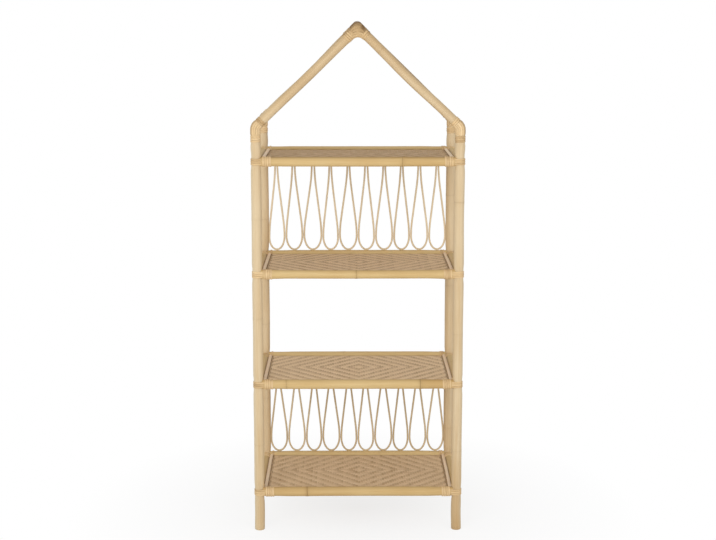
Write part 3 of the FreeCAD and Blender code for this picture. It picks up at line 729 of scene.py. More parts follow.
def add_winding(strands, start, direction, across, turns, rng, bindings, tone=0.0, stain=0.0):
    """A strip wound round a pole from start. Each turn lies square and steps on to the next on the hidden side. The
    last argument drifts the colour of the side away from across, as painted shade."""
    beside = np.cross(direction, across)
    angle = np.linspace(0, TURN * turns, int(turns * TURN * WINDING_R / STRIP_STEP) + 1)
    turned = angle / TURN
    place = np.floor(turned + 0.5) + smooth(((turned + 0.5) % 1.0 - STEP_FROM) / STEP_OVER)
    place = (place - place[0]) * SQUARE + (1 - SQUARE) * turned
    place = place * turns / place[-1]
    forward = bindings.strip_width / 2 + place * bindings.turn_pitch + wander(rng, angle, "winding place")
    out = across * np.cos(angle)[:, None] + beside * np.sin(angle)[:, None]
    point = start + direction * forward[:, None] + out * WINDING_R
    drift = tone + own_tone(rng, "winding") + wander(rng, angle, "winding tone")
    drift = drift + stain * np.maximum(-np.cos(angle), 0) ** 6
    add_strip(strands, point, out, rng, bindings.strip_width, bindings.strip_rise, drift, WINDING_SINK)


def add_strap(strands, point, out, rng, bindings, width, tone=0.0, painted_shade=0.0):
    """A strip along a path, its ends run in under the first turns beside it."""
    tone = tone + own_tone(rng, "strap")
    add_strip(strands, point, out, rng, width, bindings.strip_rise, tone, STRAP_SINK, painted_shade)


def add_peel(strands, kind, material, place, node):
    """Straps or windings as a piece."""
    add_piece(strands, f"{place}_{kind}_peel", material, [f"{node}_{kind}s"])


def top_painted_shade(upward, on_top, beside):
    """Painted shade in dark brown on the strap that faces up, and on those beside it."""
    return on_top if upward > 0.95 else beside if upward > 0.8 else 0.0


def bind_gables(context, place, bind):
    """Straps and windings at one place of both gables."""
    poles, bindings = context.scene.bookshelf_poles, context.scene.bookshelf_bindings
    material = rattan_material("Binding peel", "peel", bindings.colour)
    for name, face in FACES.items():
        straps, windings = Strands(), Strands()
        bind(straps, windings, Gable(poles, face), dice(place, face), bindings)
        add_peel(straps, "strap", material, f"{name}_{place}", f"{name}_{place}")
        add_peel(windings, "winding", material, f"{name}_{place}", f"{name}_{place}")


TURN_GAP = 0.4 * MM  # strap round a post to the first turn on a rail
LAY_FROM, LAY_OVER = 4 * MM, 8 * MM  # stretch past a post in which its straps come to lie on the rail
CORNER_TONE = -0.1


class BOOKSHELF_OT_corner_bindings(bpy.types.Operator):
    """Make the straps round the shelf corners and the windings on the rail ends"""

    bl_idname = "bookshelf.corner_bindings"
    bl_label = "Corner bindings"

    def execute(self, context):
        bindings = context.scene.bookshelf_bindings
        material = rattan_material("Binding peel", "peel", bindings.colour)
        first_turn = POLE_R + bindings.strip_rise + TURN_GAP  # from a post's axis, along a rail
        for number, level in enumerate(LEVELS):
            straps, windings = Strands(), Strands()
            rng = dice("corner", number)
            for _, face, side in CORNERS:
                corner = np.array([side * POST_X, face * POST_Y, RAIL_Z[level]])
                inward_x, inward_y = -side * ALONG_X, -face * ALONG_Y
                self.straps(straps, corner, inward_x, inward_y, first_turn + CORNER_TUCK, rng, bindings)
                turns = bindings.rail_turns if face < 0 else bindings.rear_turns
                add_winding(windings, corner + inward_x * first_turn, inward_x, inward_y, turns, rng, bindings)
                turns = bindings.rail_turns
                add_winding(windings, corner + inward_y * first_turn, inward_y, inward_x, turns, rng, bindings)
            add_peel(straps, "strap", material, f"{level}_corner", f"{level}_shelf_corner")
            add_peel(windings, "winding", material, f"{level}_rail", f"{level}_shelf_rail")
        return {"FINISHED"}

    @staticmethod
    def straps(strands, corner, inward_x, inward_y, reach, rng, bindings):
        """Straps from the long rail round the outside of the post to the side rail, laid down on all three poles."""
        arc = POLE_R * math.pi / 2
        along = np.linspace(-reach, arc + reach, 40)
        angle = np.clip(along / POLE_R, 0, math.pi / 2)[:, None]
        past = np.where(along < 0, -along, np.where(along > arc, along - arc, 0))
        ease = np.clip((past - LAY_FROM) / LAY_OVER, 0, 1)
        out = -inward_y * np.cos(angle) - inward_x * np.sin(angle)
        forward = np.where((along < 0)[:, None], inward_x * past[:, None], inward_y * past[:, None])
        for i in range(bindings.corner_straps):
            height = bindings.turn_pitch * (i - (bindings.corner_straps - 1) / 2)
            drop = POLE_R - math.sqrt(POLE_R**2 - height**2)
            radius = STRAP_R - drop * smooth(ease)
            lean = wander(rng, along, "strap height")
            point = corner + out * radius[:, None] + forward + UP * (height + lean)[:, None]
            tilt = (ease * height / POLE_R)[:, None]
            facing = out * np.cos(tilt) + UP * np.sin(tilt)
            add_strap(strands, point, facing, rng, bindings, bindings.strip_width, CORNER_TONE)


EAVE_TONES = {  # straps, turns on the post, turns on the rafter
    (-1, -1): (0.9, 0.9, -0.9),
    (-1, 1): (1.0, -1.3, 1.0),
    (1, -1): (1.8, 2.0, 1.5),
    (1, 1): (0.6, 0.3, 0.6),
}
OUTER_WIDTH, INNER_WIDTH = 1.1, 0.94  # straps on the outer and inner side of an elbow, as shares of the usual width


class BOOKSHELF_OT_eave_bindings(bpy.types.Operator):
    """Make the straps and windings of the four eave elbows"""

    bl_idname = "bookshelf.eave_bindings"
    bl_label = "Eave bindings"

    def execute(self, context):
        bind_gables(context, "eave", self.elbows)
        return {"FINISHED"}

    def elbows(self, straps, windings, gable, rng, bindings):
        for side in SIDES.values():
            self.elbow(straps, windings, side, gable, rng, bindings)

    @staticmethod
    def elbow(straps, windings, side, gable, rng, bindings):
        strap_tone, post_tone, rafter_tone = EAVE_TONES[gable.face, side]
        down, up = bindings.elbow_reach
        below = np.linspace(-down - TUCK, 0, 9)[:-1]
        above = gable.bend + np.linspace(0, up + TUCK, 5)[1:]
        path = gable.path(side, np.concatenate([below, np.linspace(0, gable.bend, 13), above]), 0.0)
        for angle in round_angles(bindings.elbow_straps):
            c, s = math.cos(angle), math.sin(angle)
            out = path.across * c + path.beside * s
            width = bindings.strip_width * (OUTER_WIDTH if c > -0.3 else INNER_WIDTH)
            # Painted shade on the straps that face up
            painted_shade = top_painted_shade(c, 0.8, 0.4)
            add_strap(straps, path.point + out * STRAP_R, out, rng, bindings, width, strap_tone, painted_shade)
        ends = gable.path(side, np.array([-down - STRAP_GAP, gable.bend + up + STRAP_GAP]), 0.0)
        turns = bindings.eave_post_turns
        add_winding(windings, ends.point[0], -UP, -side * ALONG_X, turns, rng, bindings, post_tone)
        turns = bindings.eave_rafter_turns
        add_winding(windings, ends.point[1], ends.direction[1], -ends.across[1], turns, rng, bindings, rafter_tone)


APEX_TONES = {-1: -0.9, 1: -2.8}  # front and rear; the rear apex's straps are darker, painted shade
# Painted shade on the upper side of the apex windings
APEX_TOP_SHADE = -3.2
FLANK, FLANK_WIDTH = 12 * MM, 7 * MM  # painted shade, a dark patch right of the apex
FOLD, FOLD_STEP = 16 * MM, 4 * MM  # radius of a strap where it crosses the mitre, more at the sides and less on top
SIDE_SPREAD, TOP_SPREAD, SPREAD_WIDTH = 0.66, 0.3, 9 * MM  # by which the straps widen there to close up


class BOOKSHELF_OT_apex_bindings(bpy.types.Operator):
    """Make the straps and windings of the two apexes"""

    bl_idname = "bookshelf.apex_bindings"
    bl_label = "Apex bindings"

    def execute(self, context):
        bind_gables(context, "apex", self.apex)
        return {"FINISHED"}

    @staticmethod
    def apex(straps, windings, gable, rng, bindings):
        face, run_out, fall_off = gable.face, math.cos(gable.slope), math.sin(gable.slope)
        top = np.array([0.0, face * POST_Y, gable.apex])
        for angle in round_angles(bindings.elbow_straps):
            c, s = math.cos(angle), math.sin(angle)
            fold = FOLD + FOLD_STEP * (abs(s) - max(c, 0))
            bend = fold * fall_off
            reach = (bindings.apex_reach + TUCK) * run_out + STRAP_R * c * fall_off
            straight = np.linspace(bend, max(reach, bend + 2 * MM), 9)[1:]
            x = np.concatenate([-straight[::-1], np.linspace(-bend, bend, 15), straight])
            inside = np.sqrt(np.maximum(fold**2 - x**2, 0)) - fold / run_out
            fall = np.where(np.abs(x) <= bend, inside, -math.tan(gable.slope) * np.abs(x))
            height = top[2] + STRAP_R * c / run_out + fall
            point = np.stack([x, np.full_like(x, top[1] + face * STRAP_R * s), height], axis=-1)
            lean = np.clip(x / fold, -fall_off, fall_off)
            up_slope = np.stack([lean, np.zeros_like(x), np.sqrt(1 - lean**2)], axis=-1)
            out = up_slope * c + ALONG_Y * face * s
            spread = SIDE_SPREAD * abs(s) + TOP_SPREAD * max(c, 0)
            width = bindings.strip_width * (1 + spread * bell(x, SPREAD_WIDTH))
            # Painted shade: a dark patch right of the apex, and the straps that face up
            painted_shade = np.clip(2.2 * c, 0, 1.3) * bell(x - FLANK, FLANK_WIDTH)
            painted_shade = np.maximum(painted_shade, top_painted_shade(c, 1.3, 0.7))
            add_strap(straps, point, out, rng, bindings, width, APEX_TONES[face], painted_shade)
        for side, turns in zip(SIDES.values(), bindings.apex_turns):
            down = np.array([side * run_out, 0.0, -fall_off])
            inner = np.array([-side * fall_off, 0.0, -run_out])
            start = top + down * (bindings.apex_reach + STRAP_GAP)
            add_winding(windings, start, down, inner, turns, rng, bindings, stain=APEX_TOP_SHADE)


# Woven mats and their trims

WOVEN_OUTLINE = np.array([(-0.5, -0.45), (-0.44, 0.3), (0.0, 0.5), (0.44, 0.3), (0.5, -0.45)])
WOVEN_SHARES = (1, 4, 4, 1, 1)
FLAT_SHARE = 0.3  # half of a strip's flat stretch at a crossing, as a share of the pitch
MAT_EDGE = 0.1 * MM
MAT_TONES = {  # drift of the colour, each mat's own with painted shade that darkens the top mat, and the contrast of painted light between the two directions
    "bottom": (0.0, 0.7),
    "lower": (1.5, 1.7),
    "upper": (0.7, 1.6),
    "top": (-2.0, 1.5),
}
STRIP_TONES = (0.6, -1.1)  # along X and along Y, at a contrast of 1: painted light on the strips along X and painted shade on those along Y
TRIM_OVERLAP, TRIM_END = 3 * MM, 0.2 * MM  # of a trim past the mat's side, and short of its front and rear edge
TRIM_STATIONS, TRIM_FILL, TRIM_TONE = 46, 0.98, 1.4
TRIM_SHADE, TRIM_SHADE_WIDTH, TRIM_SHADE_UNDER = 1.2, 3.4 * MM, 2 * MM  # painted shade in dark brown beside and under the trims
REAR_SHADE, REAR_SHADE_WIDTH = 0.5, 4 * MM  # and along the rear edge


class BOOKSHELF_OT_mats(bpy.types.Operator):
    """Weave the four mats in concentric diamonds"""

    bl_idname = "bookshelf.mats"
    bl_label = "Woven mats"

    def execute(self, context):
        weave = context.scene.bookshelf_weave
        material = rattan_material("Woven strip", "woven", weave.strip_colour)
        for number, level in enumerate(LEVELS):
            node = f"{level}_shelf_mat"
            strands = Strands()
            self.weave(strands, *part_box(node), dice("mat", number), weave, *MAT_TONES[level])
            add_piece(strands, f"{level}_woven_mat", material, [node])
        return {"FINISHED"}

    def weave(self, strands, low, high, rng, weave, tone, contrast):
        count = [int(round((high[a] - low[a]) / weave.strip_pitch)) for a in (0, 1)]
        pitch = [(high[a] - low[a]) / count[a] for a in (0, 1)]
        behind = int(round(weave.centre_behind / pitch[1]))
        i = np.abs(np.arange(count[0]) - count[0] // 2)
        j = np.abs(np.arange(count[1]) - count[1] // 2 - behind)
        column_over = (i[:, None] + j[None, :]) % (2 * weave.float_length) >= weave.float_length
        for axis in (0, 1):
            # Painted light and shade: strips along X lighter, strips along Y darker
            drift = tone + STRIP_TONES[axis] * contrast
            for k in range(count[1 - axis]):
                over = column_over[k] if axis else ~column_over[:, k]
                self.strip(strands, axis, k, over, low, high, pitch, rng, weave, drift)

    @staticmethod
    def strip(strands, axis, k, over, low, high, pitch, rng, weave, tone):
        """One strip along X or Y, over the crossing strips where over is true and under them elsewhere."""
        other = 1 - axis
        middle = low[axis] + pitch[axis] * (np.arange(len(over)) + 0.5)
        flat = FLAT_SHARE * pitch[axis]
        along = np.stack([middle - flat, middle + flat], axis=-1).ravel()
        along = np.concatenate([[low[axis] + MAT_EDGE], along, [high[axis] - MAT_EDGE]])
        lift = np.repeat(np.where(over, 1.0, -1.0), 2)
        lift = np.concatenate([lift[:1], lift, lift[-1:]])
        height = (low[2] + high[2]) / 2 + lift * ((high[2] - low[2]) / 2 - 0.5 * weave.strip_thickness)
        place = low[other] + pitch[other] * (k + 0.5) + wander(rng, along, "woven place")
        width = pitch[other] * weave.strip_fill * rng.uniform(0.97, 1.0)
        shape = (len(along), len(WOVEN_OUTLINE))
        a, b = (np.broadcast_to(v, shape) for v in (WOVEN_OUTLINE * [width, weave.strip_thickness]).T)
        grid = np.empty((*shape, 3))
        grid[..., axis] = along[:, None]
        grid[..., other] = place[:, None] + a
        grid[..., 2] = height[:, None] + b
        cane = strand_places(along[:, None], a, b, rng)
        tone = tone + own_tone(rng, "woven") + wander(rng, along, "woven tone")
        # Painted shade beside and under the side trims, and along the rear edge
        inward = high[0] - np.abs(place if axis else along) - weave.trim_width + TRIM_SHADE_UNDER
        behind = high[1] - (along if axis else place)
        painted_shade = TRIM_SHADE * bell(np.maximum(inward, 0), TRIM_SHADE_WIDTH)
        painted_shade = np.maximum(painted_shade, REAR_SHADE * bell(behind, REAR_SHADE_WIDTH))
        strands.add(grid, cane, tone[:, None], painted_shade[:, None], WOVEN_SHARES)


class BOOKSHELF_OT_trims(bpy.types.Operator):
    """Make the half-round trims along the sides of the mats"""

    bl_idname = "bookshelf.trims"
    bl_label = "Side trims"

    def execute(self, context):
        weave = context.scene.bookshelf_weave
        material = rattan_material("Half-round trim", "trim", weave.trim_colour)
        for number, level in enumerate(LEVELS):
            rng = dice("trim", number)
            low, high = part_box(f"{level}_shelf_mat")
            strands = Strands()
            for side in SIDES.values():
                y = np.linspace(low.y + TRIM_END, high.y - TRIM_END, TRIM_STATIONS)
                x = side * (high.x + TRIM_OVERLAP - weave.trim_width / 2) + wander(rng, y, "trim place")
                point = np.stack([x, y, np.full_like(y, high.z)], axis=-1)
                out = np.broadcast_to(UP, point.shape)
                tone = TRIM_TONE + own_tone(rng, "trim")
                add_strip(strands, point, out, rng, weave.trim_width * TRIM_FILL, weave.trim_rise, tone)
            add_piece(strands, f"{level}_side_trim_strips", material, [f"{level}_shelf_trims"])
        return {"FINISHED"}


# Back panels

LOOP_PANELS = {"upper": ("top", "upper", 2.9), "lower": ("lower", "bottom", 0.5)}  # shelves and drift of the colour
LOOP_TURN = round_angles(12)
LOOP_GAP, LOOP_INSET = 0.3 * MM, 0.06 * MM  # to the next loop, and of a strand's radius
NECK_SHIFTS, NECK_WIDTHS, NECK_LENGTHS = (-0.8, 0.8), (0.88, 1.14), (0.75, 1.25)  # random shares of the settings
FOOT_HEIGHTS = (1.55, 1.8)  # random shares of half a loop's width
SOCKET_DEPTH = 8.5 * MM
SIDE_SHARES = np.linspace(0, 1, 70)
SIDE_BENDS = (0.35, 0.2)  # shares of a loop's side that bend, at its top and at its widest point
FOOT_TURN = np.linspace(0, math.pi / 2, 22)[1:]


class BOOKSHELF_OT_loops(bpy.types.Operator):
    """Bend the loops of both back panels"""

    bl_idname = "bookshelf.loops"
    bl_label = "Back loops"

    def execute(self, context):
        loops = context.scene.bookshelf_loops
        material = rattan_material("Bent loop core", "core", loops.colour)
        inner = POST_X - POLE_R
        for number, (panel, (above, below, tone)) in enumerate(LOOP_PANELS.items()):
            rng = dice("loop", number)
            edges = np.linspace(-inner, inner, loops.count + 1)
            edges[1:-1] += rng.uniform(-1, 1, loops.count - 1) * loops.unevenness
            strands = Strands()
            for left, right in zip(edges[:-1], edges[1:]):
                self.loop(strands, left, right, RAIL_Z[above] - POLE_R, RAIL_Z[below] + POLE_R, rng, loops, tone)
            add_piece(strands, f"{panel}_back_panel_loops", material, [f"{panel}_back_loops"])
        return {"FINISHED"}

    @staticmethod
    def loop(strands, left, right, top, low, rng, loops, tone):
        """One strand: down from its socket, out to its widest point, round the foot and up again."""
        strand = loops.strand / 2
        half = (right - left - LOOP_GAP) / 2 - strand
        centre = (left + right) / 2
        neck_at = centre + rng.uniform(*NECK_SHIFTS) * loops.unevenness
        neck = loops.neck / 2 * rng.uniform(*NECK_WIDTHS)
        bend_top = top - loops.neck_length * rng.uniform(*NECK_LENGTHS)
        foot = low + FIT_GAP + strand
        wide_at = [foot + half * rng.uniform(*FOOT_HEIGHTS) for _ in range(2)]
        sides = []
        for sign, bend_low in zip((-1, 1), wide_at):
            start, widest = neck_at + sign * neck, centre + sign * half
            side = start + (widest - start) * eased(SIDE_SHARES, *SIDE_BENDS)
            x = np.concatenate([[start, start], side, centre + sign * half * np.cos(FOOT_TURN)])
            side = bend_top + (bend_low - bend_top) * SIDE_SHARES
            ends = [top + SOCKET_DEPTH, (top + bend_top) / 2]
            z = np.concatenate([ends, side, bend_low - (bend_low - foot) * np.sin(FOOT_TURN)])
            sides.append(np.stack([x, np.full_like(x, POST_Y), z], axis=-1))
        path = np.concatenate([sides[0], sides[1][-2::-1]])
        across = np.cross(unit(np.gradient(path, axis=0)), ALONG_Y)
        along = run(path)
        path = path + ALONG_Y * wander(rng, along, "loop depth")[:, None]
        radius = (strand - LOOP_INSET + wander(rng, along, "loop radius"))[:, None]
        a, b = radius * np.cos(LOOP_TURN), radius * np.sin(LOOP_TURN)
        cane = strand_places(along[:, None], a, b, rng)
        drift = tone + own_tone(rng, "loop") + wander(rng, along, "loop tone")
        strands.add(swept(path, across, np.broadcast_to(ALONG_Y, path.shape), a, b), cane, drift[:, None])


# Materials

GRAIN = ("Fibre Length", "Fibre Width", "Blotch Length", "Blotch Width")
SHARES = ("Fibre Share", "Blotch Share", "Fleck Share", "Tone Share")
RATTAN = {  # grain, shares, darker and paler shade with its tint, roughness, relief of the fibres
    "pole": (
        (0.12, 0.0016, 0.2, 0.009), (0.34, 0.85, 0.22, 0.16),
        (0.7, 1.0, 0.8, 0.54), (1.12, 1.0, 1.08, 1.22), 0.46, 0.12 * MM,
    ),
    "trim": (
        (0.12, 0.0016, 0.2, 0.009), (0.34, 0.85, 0.1, 0.16),
        (0.7, 1.0, 0.8, 0.54), (1.12, 1.0, 1.08, 1.22), 0.46, 0.12 * MM,
    ),
    "peel": (
        (0.05, 0.0007, 0.03, 0.004), (0.26, 0.4, 0.15, 0.3),
        (0.45, 1.0, 0.82, 0.62), (1.16, 1.0, 1.06, 1.18), 0.46, 0.08 * MM,
    ),
    "woven": (
        (0.04, 0.0008, 0.05, 0.004), (0.3, 0.35, 0.2, 0.3),
        (0.52, 1.0, 0.84, 0.60), (1.12, 1.0, 1.06, 1.14), 0.5, 0.08 * MM,
    ),
    "core": (
        (0.03, 0.0006, 0.05, 0.004), (0.3, 0.4, 0.15, 0.3),
        (0.55, 1.0, 0.88, 0.72), (1.28, 1.0, 1.06, 1.2), 0.55, 0.1 * MM,
    ),
}
UNCHANGED = (1.0, 1.0, 1.0, 1.0)  # shade and tint
# Dark brown of the growth-ring scars and of painted shade
SCAR_AND_SHADE_BROWN = (0.10, 0.05, 0.02, 1.0)
WHITE = (1.0, 1.0, 1.0, 1.0)


def connect(tree, node, values):
    """Sets or links the inputs of a node, by name or number."""
    for key, value in values.items():
        if isinstance(value, bpy.types.NodeSocket):
            tree.links.new(value, node.inputs[key])
        else:
            node.inputs[key].default_value = value


def add_node(tree, kind, values=None, **settings):
    made = tree.nodes.new(kind)
    for key, value in settings.items():
        setattr(made, key, value)
    connect(tree, made, values or {})
    return made


def math_node(tree, operation, *values, clamp=False):
    return add_node(tree, "ShaderNodeMath", dict(enumerate(values)), operation=operation, use_clamp=clamp).outputs[0]


def mix_colour(tree, factor, a, b):
    return add_node(tree, "ShaderNodeMix", {0: factor, 6: a, 7: b}, data_type="RGBA").outputs[2]


def ramp_value(tree, value, low, high):
    """0 at low and 1 at high, and even between them."""
    made = add_node(tree, "ShaderNodeMapRange", {"Value": value, "From Min": low, "From Max": high})
    return made.outputs["Result"]


def noise(tree, place, length, width, detail, roughness):
    """Noise that is stretched to this length along a strand and this width across it."""
    scale = add_node(tree, "ShaderNodeCombineXYZ", {0: length, 1: width, 2: width}).outputs[0]
    place = add_node(tree, "ShaderNodeVectorMath", {0: place, 1: scale}, operation="DIVIDE").outputs[0]
    values = {"Vector": place, "Scale": 1.0, "Detail": detail, "Roughness": roughness}
    return add_node(tree, "ShaderNodeTexNoise", values).outputs["Fac"]


def bump(tree, height, strength, distance):
    values = {"Height": height, "Strength": strength, "Distance": distance}
    return add_node(tree, "ShaderNodeBump", values).outputs["Normal"]


def node_group(name, inputs, outputs):
    """An empty shader group, its given values and its output node. An input is a number or a kind of socket."""
    tree = bpy.data.node_groups.new(name, "ShaderNodeTree")
    for label, value in inputs.items():
        kind = value if isinstance(value, str) else "Float"
        socket = tree.interface.new_socket(label, in_out="INPUT", socket_type=f"NodeSocket{kind}")
        if kind == "Float":
            socket.default_value = value
    for label, kind in outputs.items():
        tree.interface.new_socket(label, in_out="OUTPUT", socket_type=f"NodeSocket{kind}")
    return tree, tree.nodes.new("NodeGroupInput").outputs, tree.nodes.new("NodeGroupOutput")


def grain_group():
    """Lengthwise fibres, broad blotches and short dark flecks along a strand of rattan."""
    if "Rattan grain" in bpy.data.node_groups:
        return bpy.data.node_groups["Rattan grain"]
    inputs = {"Strand": "Vector", **dict(zip(GRAIN, (0.09, 0.0012, 0.11, 0.012)))}
    tree, get, made = node_group("Rattan grain", inputs, {"Fibre": "Float", "Blotch": "Float", "Fleck": "Float"})
    fibre_length, fibre_width, blotch_length, blotch_width = (get[label] for label in GRAIN)
    fibre = noise(tree, get["Strand"], fibre_length, fibre_width, 4.0, 0.6)
    blotch = noise(tree, get["Strand"], blotch_length, blotch_width, 3.0, 0.55)
    fleck = noise(tree, get["Strand"], 0.011, 0.0022, 2.0, 0.5)
    connect(tree, made, {"Fibre": ramp_value(tree, fibre, 0.3, 0.7), "Blotch": ramp_value(tree, blotch, 0.3, 0.7)})
    connect(tree, made, {"Fleck": ramp_value(tree, fleck, 0.68, 0.8)})
    return tree


def tint_group():
    """Colour of a rattan surface from its grain, its strand's own tone with the painted light and shade in it, and
    its growth rings and painted shade in dark brown.
    """
    if "Rattan tint" in bpy.data.node_groups:
        return bpy.data.node_groups["Rattan tint"]
    inputs = {"Base": "Color", "Dark": "Color", "Pale": "Color"}
    inputs |= {"Fibre": 0.5, "Blotch": 0.5, "Fleck": 0.0, "Tone": 0.0, "Ring": 0.0}
    inputs |= dict(zip(SHARES, (0.3, 0.5, 0.25, 0.25)))
    outputs = {"Color": "Color", "Height": "Float", "Roughness": "Float"}
    tree, get, made = node_group("Rattan tint", inputs, outputs)
    colour = get["Base"]
    for mark, shade_name in (("Blotch", "Pale"), ("Fibre", "Dark"), ("Fleck", "Dark")):
        amount = math_node(tree, "MULTIPLY", get[mark], get[f"{mark} Share"])
        colour = mix_colour(tree, amount, colour, get[shade_name])
    tone = math_node(tree, "MULTIPLY", get["Tone"], get["Tone Share"])
    for sign, shade_name in ((1.0, "Pale"), (-1.0, "Dark")):
        amount = math_node(tree, "MAXIMUM", math_node(tree, "MULTIPLY", tone, sign), 0.0, clamp=True)
        colour = mix_colour(tree, amount, colour, get[shade_name])
    # Dark brown for the growth-ring scars and for painted shade
    deep = mix_colour(tree, 0.6, get["Dark"], SCAR_AND_SHADE_BROWN)
    colour = mix_colour(tree, math_node(tree, "MULTIPLY", get["Ring"], 0.75), colour, deep)
    height = math_node(tree, "SUBTRACT", get["Fibre"], math_node(tree, "MULTIPLY", get["Fleck"], 0.4))
    rough = math_node(tree, "MULTIPLY", get["Fibre"], 0.16)
    rough = math_node(tree, "MULTIPLY_ADD", get["Blotch"], 0.1, rough)
    connect(tree, made, {"Color": colour, "Height": height, "Roughness": rough})
    return tree


def shade(colour, factor, *tint):
    return tuple(min(1.0, c * factor * t) for c, t in zip(colour, tint)) + (1.0,)


def new_material(name):
    material = bpy.data.materials.new(name)
    material.use_nodes = True
    return material, material.node_tree, material.node_tree.nodes["Principled BSDF"]


def rattan_material(name, kind, colour):
    """A rattan surface of one of the kinds listed above, in this colour."""
    if name in bpy.data.materials:
        return bpy.data.materials[name]
    grain, shares, dark, pale, rough, relief = RATTAN[kind]
    material, tree, shader = new_material(name)
    cane, tone, ring = (add_node(tree, "ShaderNodeAttribute", attribute_name=layer).outputs for layer in LAYERS)
    fibres = add_node(tree, "ShaderNodeGroup", node_tree=grain_group())
    connect(tree, fibres, {"Strand": cane["Vector"], **dict(zip(GRAIN, grain))})
    tint = add_node(tree, "ShaderNodeGroup", node_tree=tint_group())
    shades = {"Base": UNCHANGED, "Dark": dark, "Pale": pale}
    connect(tree, tint, {label: shade(colour, *change) for label, change in shades.items()})
    connect(tree, tint, {label: fibres.outputs[label] for label in ("Fibre", "Blotch", "Fleck")})
    connect(tree, tint, {"Tone": tone["Fac"], "Ring": ring["Fac"], **dict(zip(SHARES, shares))})
    rough = math_node(tree, "ADD", tint.outputs["Roughness"], rough)
    normal = bump(tree, tint.outputs["Height"], 0.5, relief)
    connect(tree, shader, {"Base Color": tint.outputs["Color"], "Roughness": rough, "Normal": normal})
    connect(tree, shader, {"Specular IOR Level": 0.2})
    return material


def plywood_material():
    """Birch plywood and battens: figure along X, and thin layers in the edges."""
    material, tree, shader = new_material("Birch board")
    place = add_node(tree, "ShaderNodeTexCoord").outputs["Object"]
    figure = noise(tree, place, 0.16, 0.006, 5.0, 0.6)
    values = {"Vector": place, "Scale": 160.0, "Distortion": 0.3}
    layer = add_node(tree, "ShaderNodeTexWave", values, bands_direction="Z").outputs["Fac"]
    colour = mix_colour(tree, ramp_value(tree, figure, 0.3, 0.7), (0.62, 0.45, 0.27, 1), (0.44, 0.29, 0.15, 1))
    colour = mix_colour(tree, math_node(tree, "MULTIPLY", layer, 0.25), colour, (0.33, 0.2, 0.1, 1))
    rough = math_node(tree, "MULTIPLY_ADD", figure, 0.2, 0.5)
    normal = bump(tree, figure, 0.4, 0.1 * MM)
    connect(tree, shader, {"Base Color": colour, "Roughness": rough, "Normal": normal})
    return material


def steel_material():
    """Zinc-coated screws and brads."""
    material, tree, shader = new_material("Zinc fastener")
    place = add_node(tree, "ShaderNodeTexCoord").outputs["Object"]
    stain = noise(tree, place, 0.003, 0.003, 4.0, 0.6)
    colour = mix_colour(tree, stain, (0.62, 0.62, 0.62, 1), (0.42, 0.41, 0.40, 1))
    rough = math_node(tree, "MULTIPLY_ADD", stain, 0.3, 0.25)
    connect(tree, shader, {"Base Color": colour, "Roughness": rough, "Metallic": 1.0})
    return material


class BOOKSHELF_OT_inner_parts(bpy.types.Operator):
    """Finish the boards, bearers, screws and brads, which keep their packed shapes"""

    bl_idname = "bookshelf.inner_parts"
    bl_label = "Boards and fasteners"

    def execute(self, context):
        wooden = [f"{level}_shelf_{part}" for level in LEVELS for part in ("board", "bearers")]
        finishes = ((wooden, plywood_material()), (["frame_screws", "panel_brads"], steel_material()))
        for nodes, material in finishes:
            for node in nodes:
                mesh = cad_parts[node].data
                mesh.materials.clear()
                mesh.materials.append(material)
        return {"FINISHED"}


# Stage

LAMP_TARGET = np.array([0.0, 0.0, 0.6])
LAMPS = {"key": ((-1.4, -3.0, 1.5), 2.2), "fill": ((1.8, -2.8, 1.1), 2.0)}  # place and diameter
FLOOR_HALF = 30.0
FLOOR_FADE = (-2.4, 0.75)  # distances from the middle at which the floor would be plain and is white


def white_to_camera(tree, plain, white, share=1.0):
    """A shader that is white by this share where it is seen, and plain where it lights the object."""
    path = add_node(tree, "ShaderNodeLightPath").outputs
    seen = math_node(tree, "ADD", path["Is Camera Ray"], path["Is Glossy Ray"])
    seen = math_node(tree, "ADD", seen, path["Is Transmission Ray"], clamp=True)
    seen = math_node(tree, "MULTIPLY", seen, share)
    both = add_node(tree, "ShaderNodeMixShader", {0: seen, 1: plain.outputs[0], 2: white.outputs[0]})
    return {"Surface": both.outputs[0]}


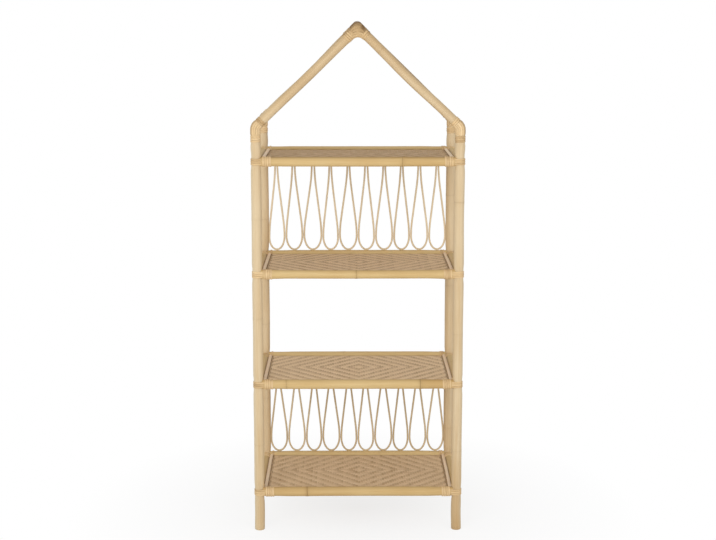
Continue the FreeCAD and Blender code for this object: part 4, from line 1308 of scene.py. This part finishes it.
class BOOKSHELF_OT_stage(bpy.types.Operator):
    """Set up the floor, the light and the camera"""

    bl_idname = "bookshelf.stage"
    bl_label = "Stage"

    def execute(self, context):
        stage = context.scene.bookshelf_stage
        context.scene.view_settings.view_transform = "Standard"
        self.sky(context.scene, stage)
        self.floor(stage)
        for name, (place, size) in LAMPS.items():
            self.lamp(f"{name}_lamp", place, getattr(stage, f"{name}_power"), size)
        self.camera(context.scene, stage)
        return {"FINISHED"}

    @staticmethod
    def sky(scene, stage):
        scene.world = bpy.data.worlds.new("studio")
        scene.world.use_nodes = True
        tree = scene.world.node_tree
        tree.nodes.clear()
        light = add_node(tree, "ShaderNodeBackground", {"Color": WHITE, "Strength": stage.sky_strength})
        white = add_node(tree, "ShaderNodeBackground", {"Color": WHITE, "Strength": 1.0})
        add_node(tree, "ShaderNodeOutputWorld", white_to_camera(tree, light, white))

    @staticmethod
    def floor(stage):
        """A wide plain floor that keeps the shadow near the object, and is white to the camera further off."""
        corners = [(x * FLOOR_HALF, y * FLOOR_HALF, 0) for x, y in ((-1, -1), (1, -1), (1, 1), (-1, 1))]
        mesh = bpy.data.meshes.new("floor")
        mesh.from_pydata(corners, [], [(0, 1, 2, 3)])
        floor = new_object("floor", mesh)
        material, tree, _ = new_material("Studio floor")
        mesh.materials.append(material)
        tree.nodes.clear()
        plain = add_node(tree, "ShaderNodeBsdfDiffuse", {"Color": (*stage.floor_colour, 1.0)})
        white = add_node(tree, "ShaderNodeEmission", {"Color": WHITE, "Strength": 1.0})
        place = add_node(tree, "ShaderNodeTexCoord").outputs["Object"]
        away = add_node(tree, "ShaderNodeVectorMath", {0: place}, operation="LENGTH").outputs["Value"]
        surface = white_to_camera(tree, plain, white, ramp_value(tree, away, *FLOOR_FADE))
        add_node(tree, "ShaderNodeOutputMaterial", surface)

    @staticmethod
    def lamp(name, place, power, size):
        data = bpy.data.lights.new(name, "AREA")
        data.energy, data.shape, data.size = power, "DISK", size
        lamp = new_object(name, data)
        lamp.location = place
        x, y, z = LAMP_TARGET - place
        lamp.rotation_euler = (math.atan2(math.hypot(x, y), -z), 0, math.atan2(-x, y))

    @staticmethod
    def camera(scene, stage):
        data = bpy.data.cameras.new("camera")
        data.lens, data.sensor_width = stage.camera_lens, 36.0
        data.shift_y = stage.camera_shift
        data.clip_start, data.clip_end = 0.1, 100.0
        scene.camera = new_object("camera", data)
        scene.camera.location = stage.camera_place
        scene.camera.rotation_euler = (math.pi / 2 - stage.camera_pitch, 0, stage.camera_yaw)


# Panel and registration

OPERATORS = (
    BOOKSHELF_OT_posts,
    BOOKSHELF_OT_rafters,
    BOOKSHELF_OT_rails,
    BOOKSHELF_OT_corner_bindings,
    BOOKSHELF_OT_eave_bindings,
    BOOKSHELF_OT_apex_bindings,
    BOOKSHELF_OT_mats,
    BOOKSHELF_OT_trims,
    BOOKSHELF_OT_loops,
    BOOKSHELF_OT_inner_parts,
    BOOKSHELF_OT_stage,
)
SETTINGS = {
    "bookshelf_poles": PoleSettings,
    "bookshelf_weave": WeaveSettings,
    "bookshelf_loops": LoopSettings,
    "bookshelf_bindings": BindingSettings,
    "bookshelf_stage": StageSettings,
}


class BOOKSHELF_PT_panel(bpy.types.Panel):
    """Lists the bookshelf's settings and the operators that make its pieces"""

    bl_idname = "BOOKSHELF_PT_panel"
    bl_label = "Bookshelf"
    bl_space_type = "VIEW_3D"
    bl_region_type = "UI"
    bl_category = "Bookshelf"

    def draw(self, context):
        for name, group in SETTINGS.items():
            box = self.layout.box()
            box.label(text=group.__doc__)
            for key in group.__annotations__:
                box.prop(getattr(context.scene, name), key)
        for operator in OPERATORS:
            self.layout.operator(operator.bl_idname)


def register():
    for made in (*SETTINGS.values(), *OPERATORS, BOOKSHELF_PT_panel):
        bpy.utils.register_class(made)
    for name, group in SETTINGS.items():
        setattr(bpy.types.Scene, name, bpy.props.PointerProperty(type=group))


def unregister():
    for name in SETTINGS:
        delattr(bpy.types.Scene, name)
    for made in (BOOKSHELF_PT_panel, *reversed(OPERATORS), *reversed(list(SETTINGS.values()))):
        bpy.utils.unregister_class(made)


def main():
    register()
    for operator in OPERATORS:
        group, name = operator.bl_idname.split(".")
        getattr(getattr(bpy.ops, group), name)()


if __name__ == "__main__":
    main()
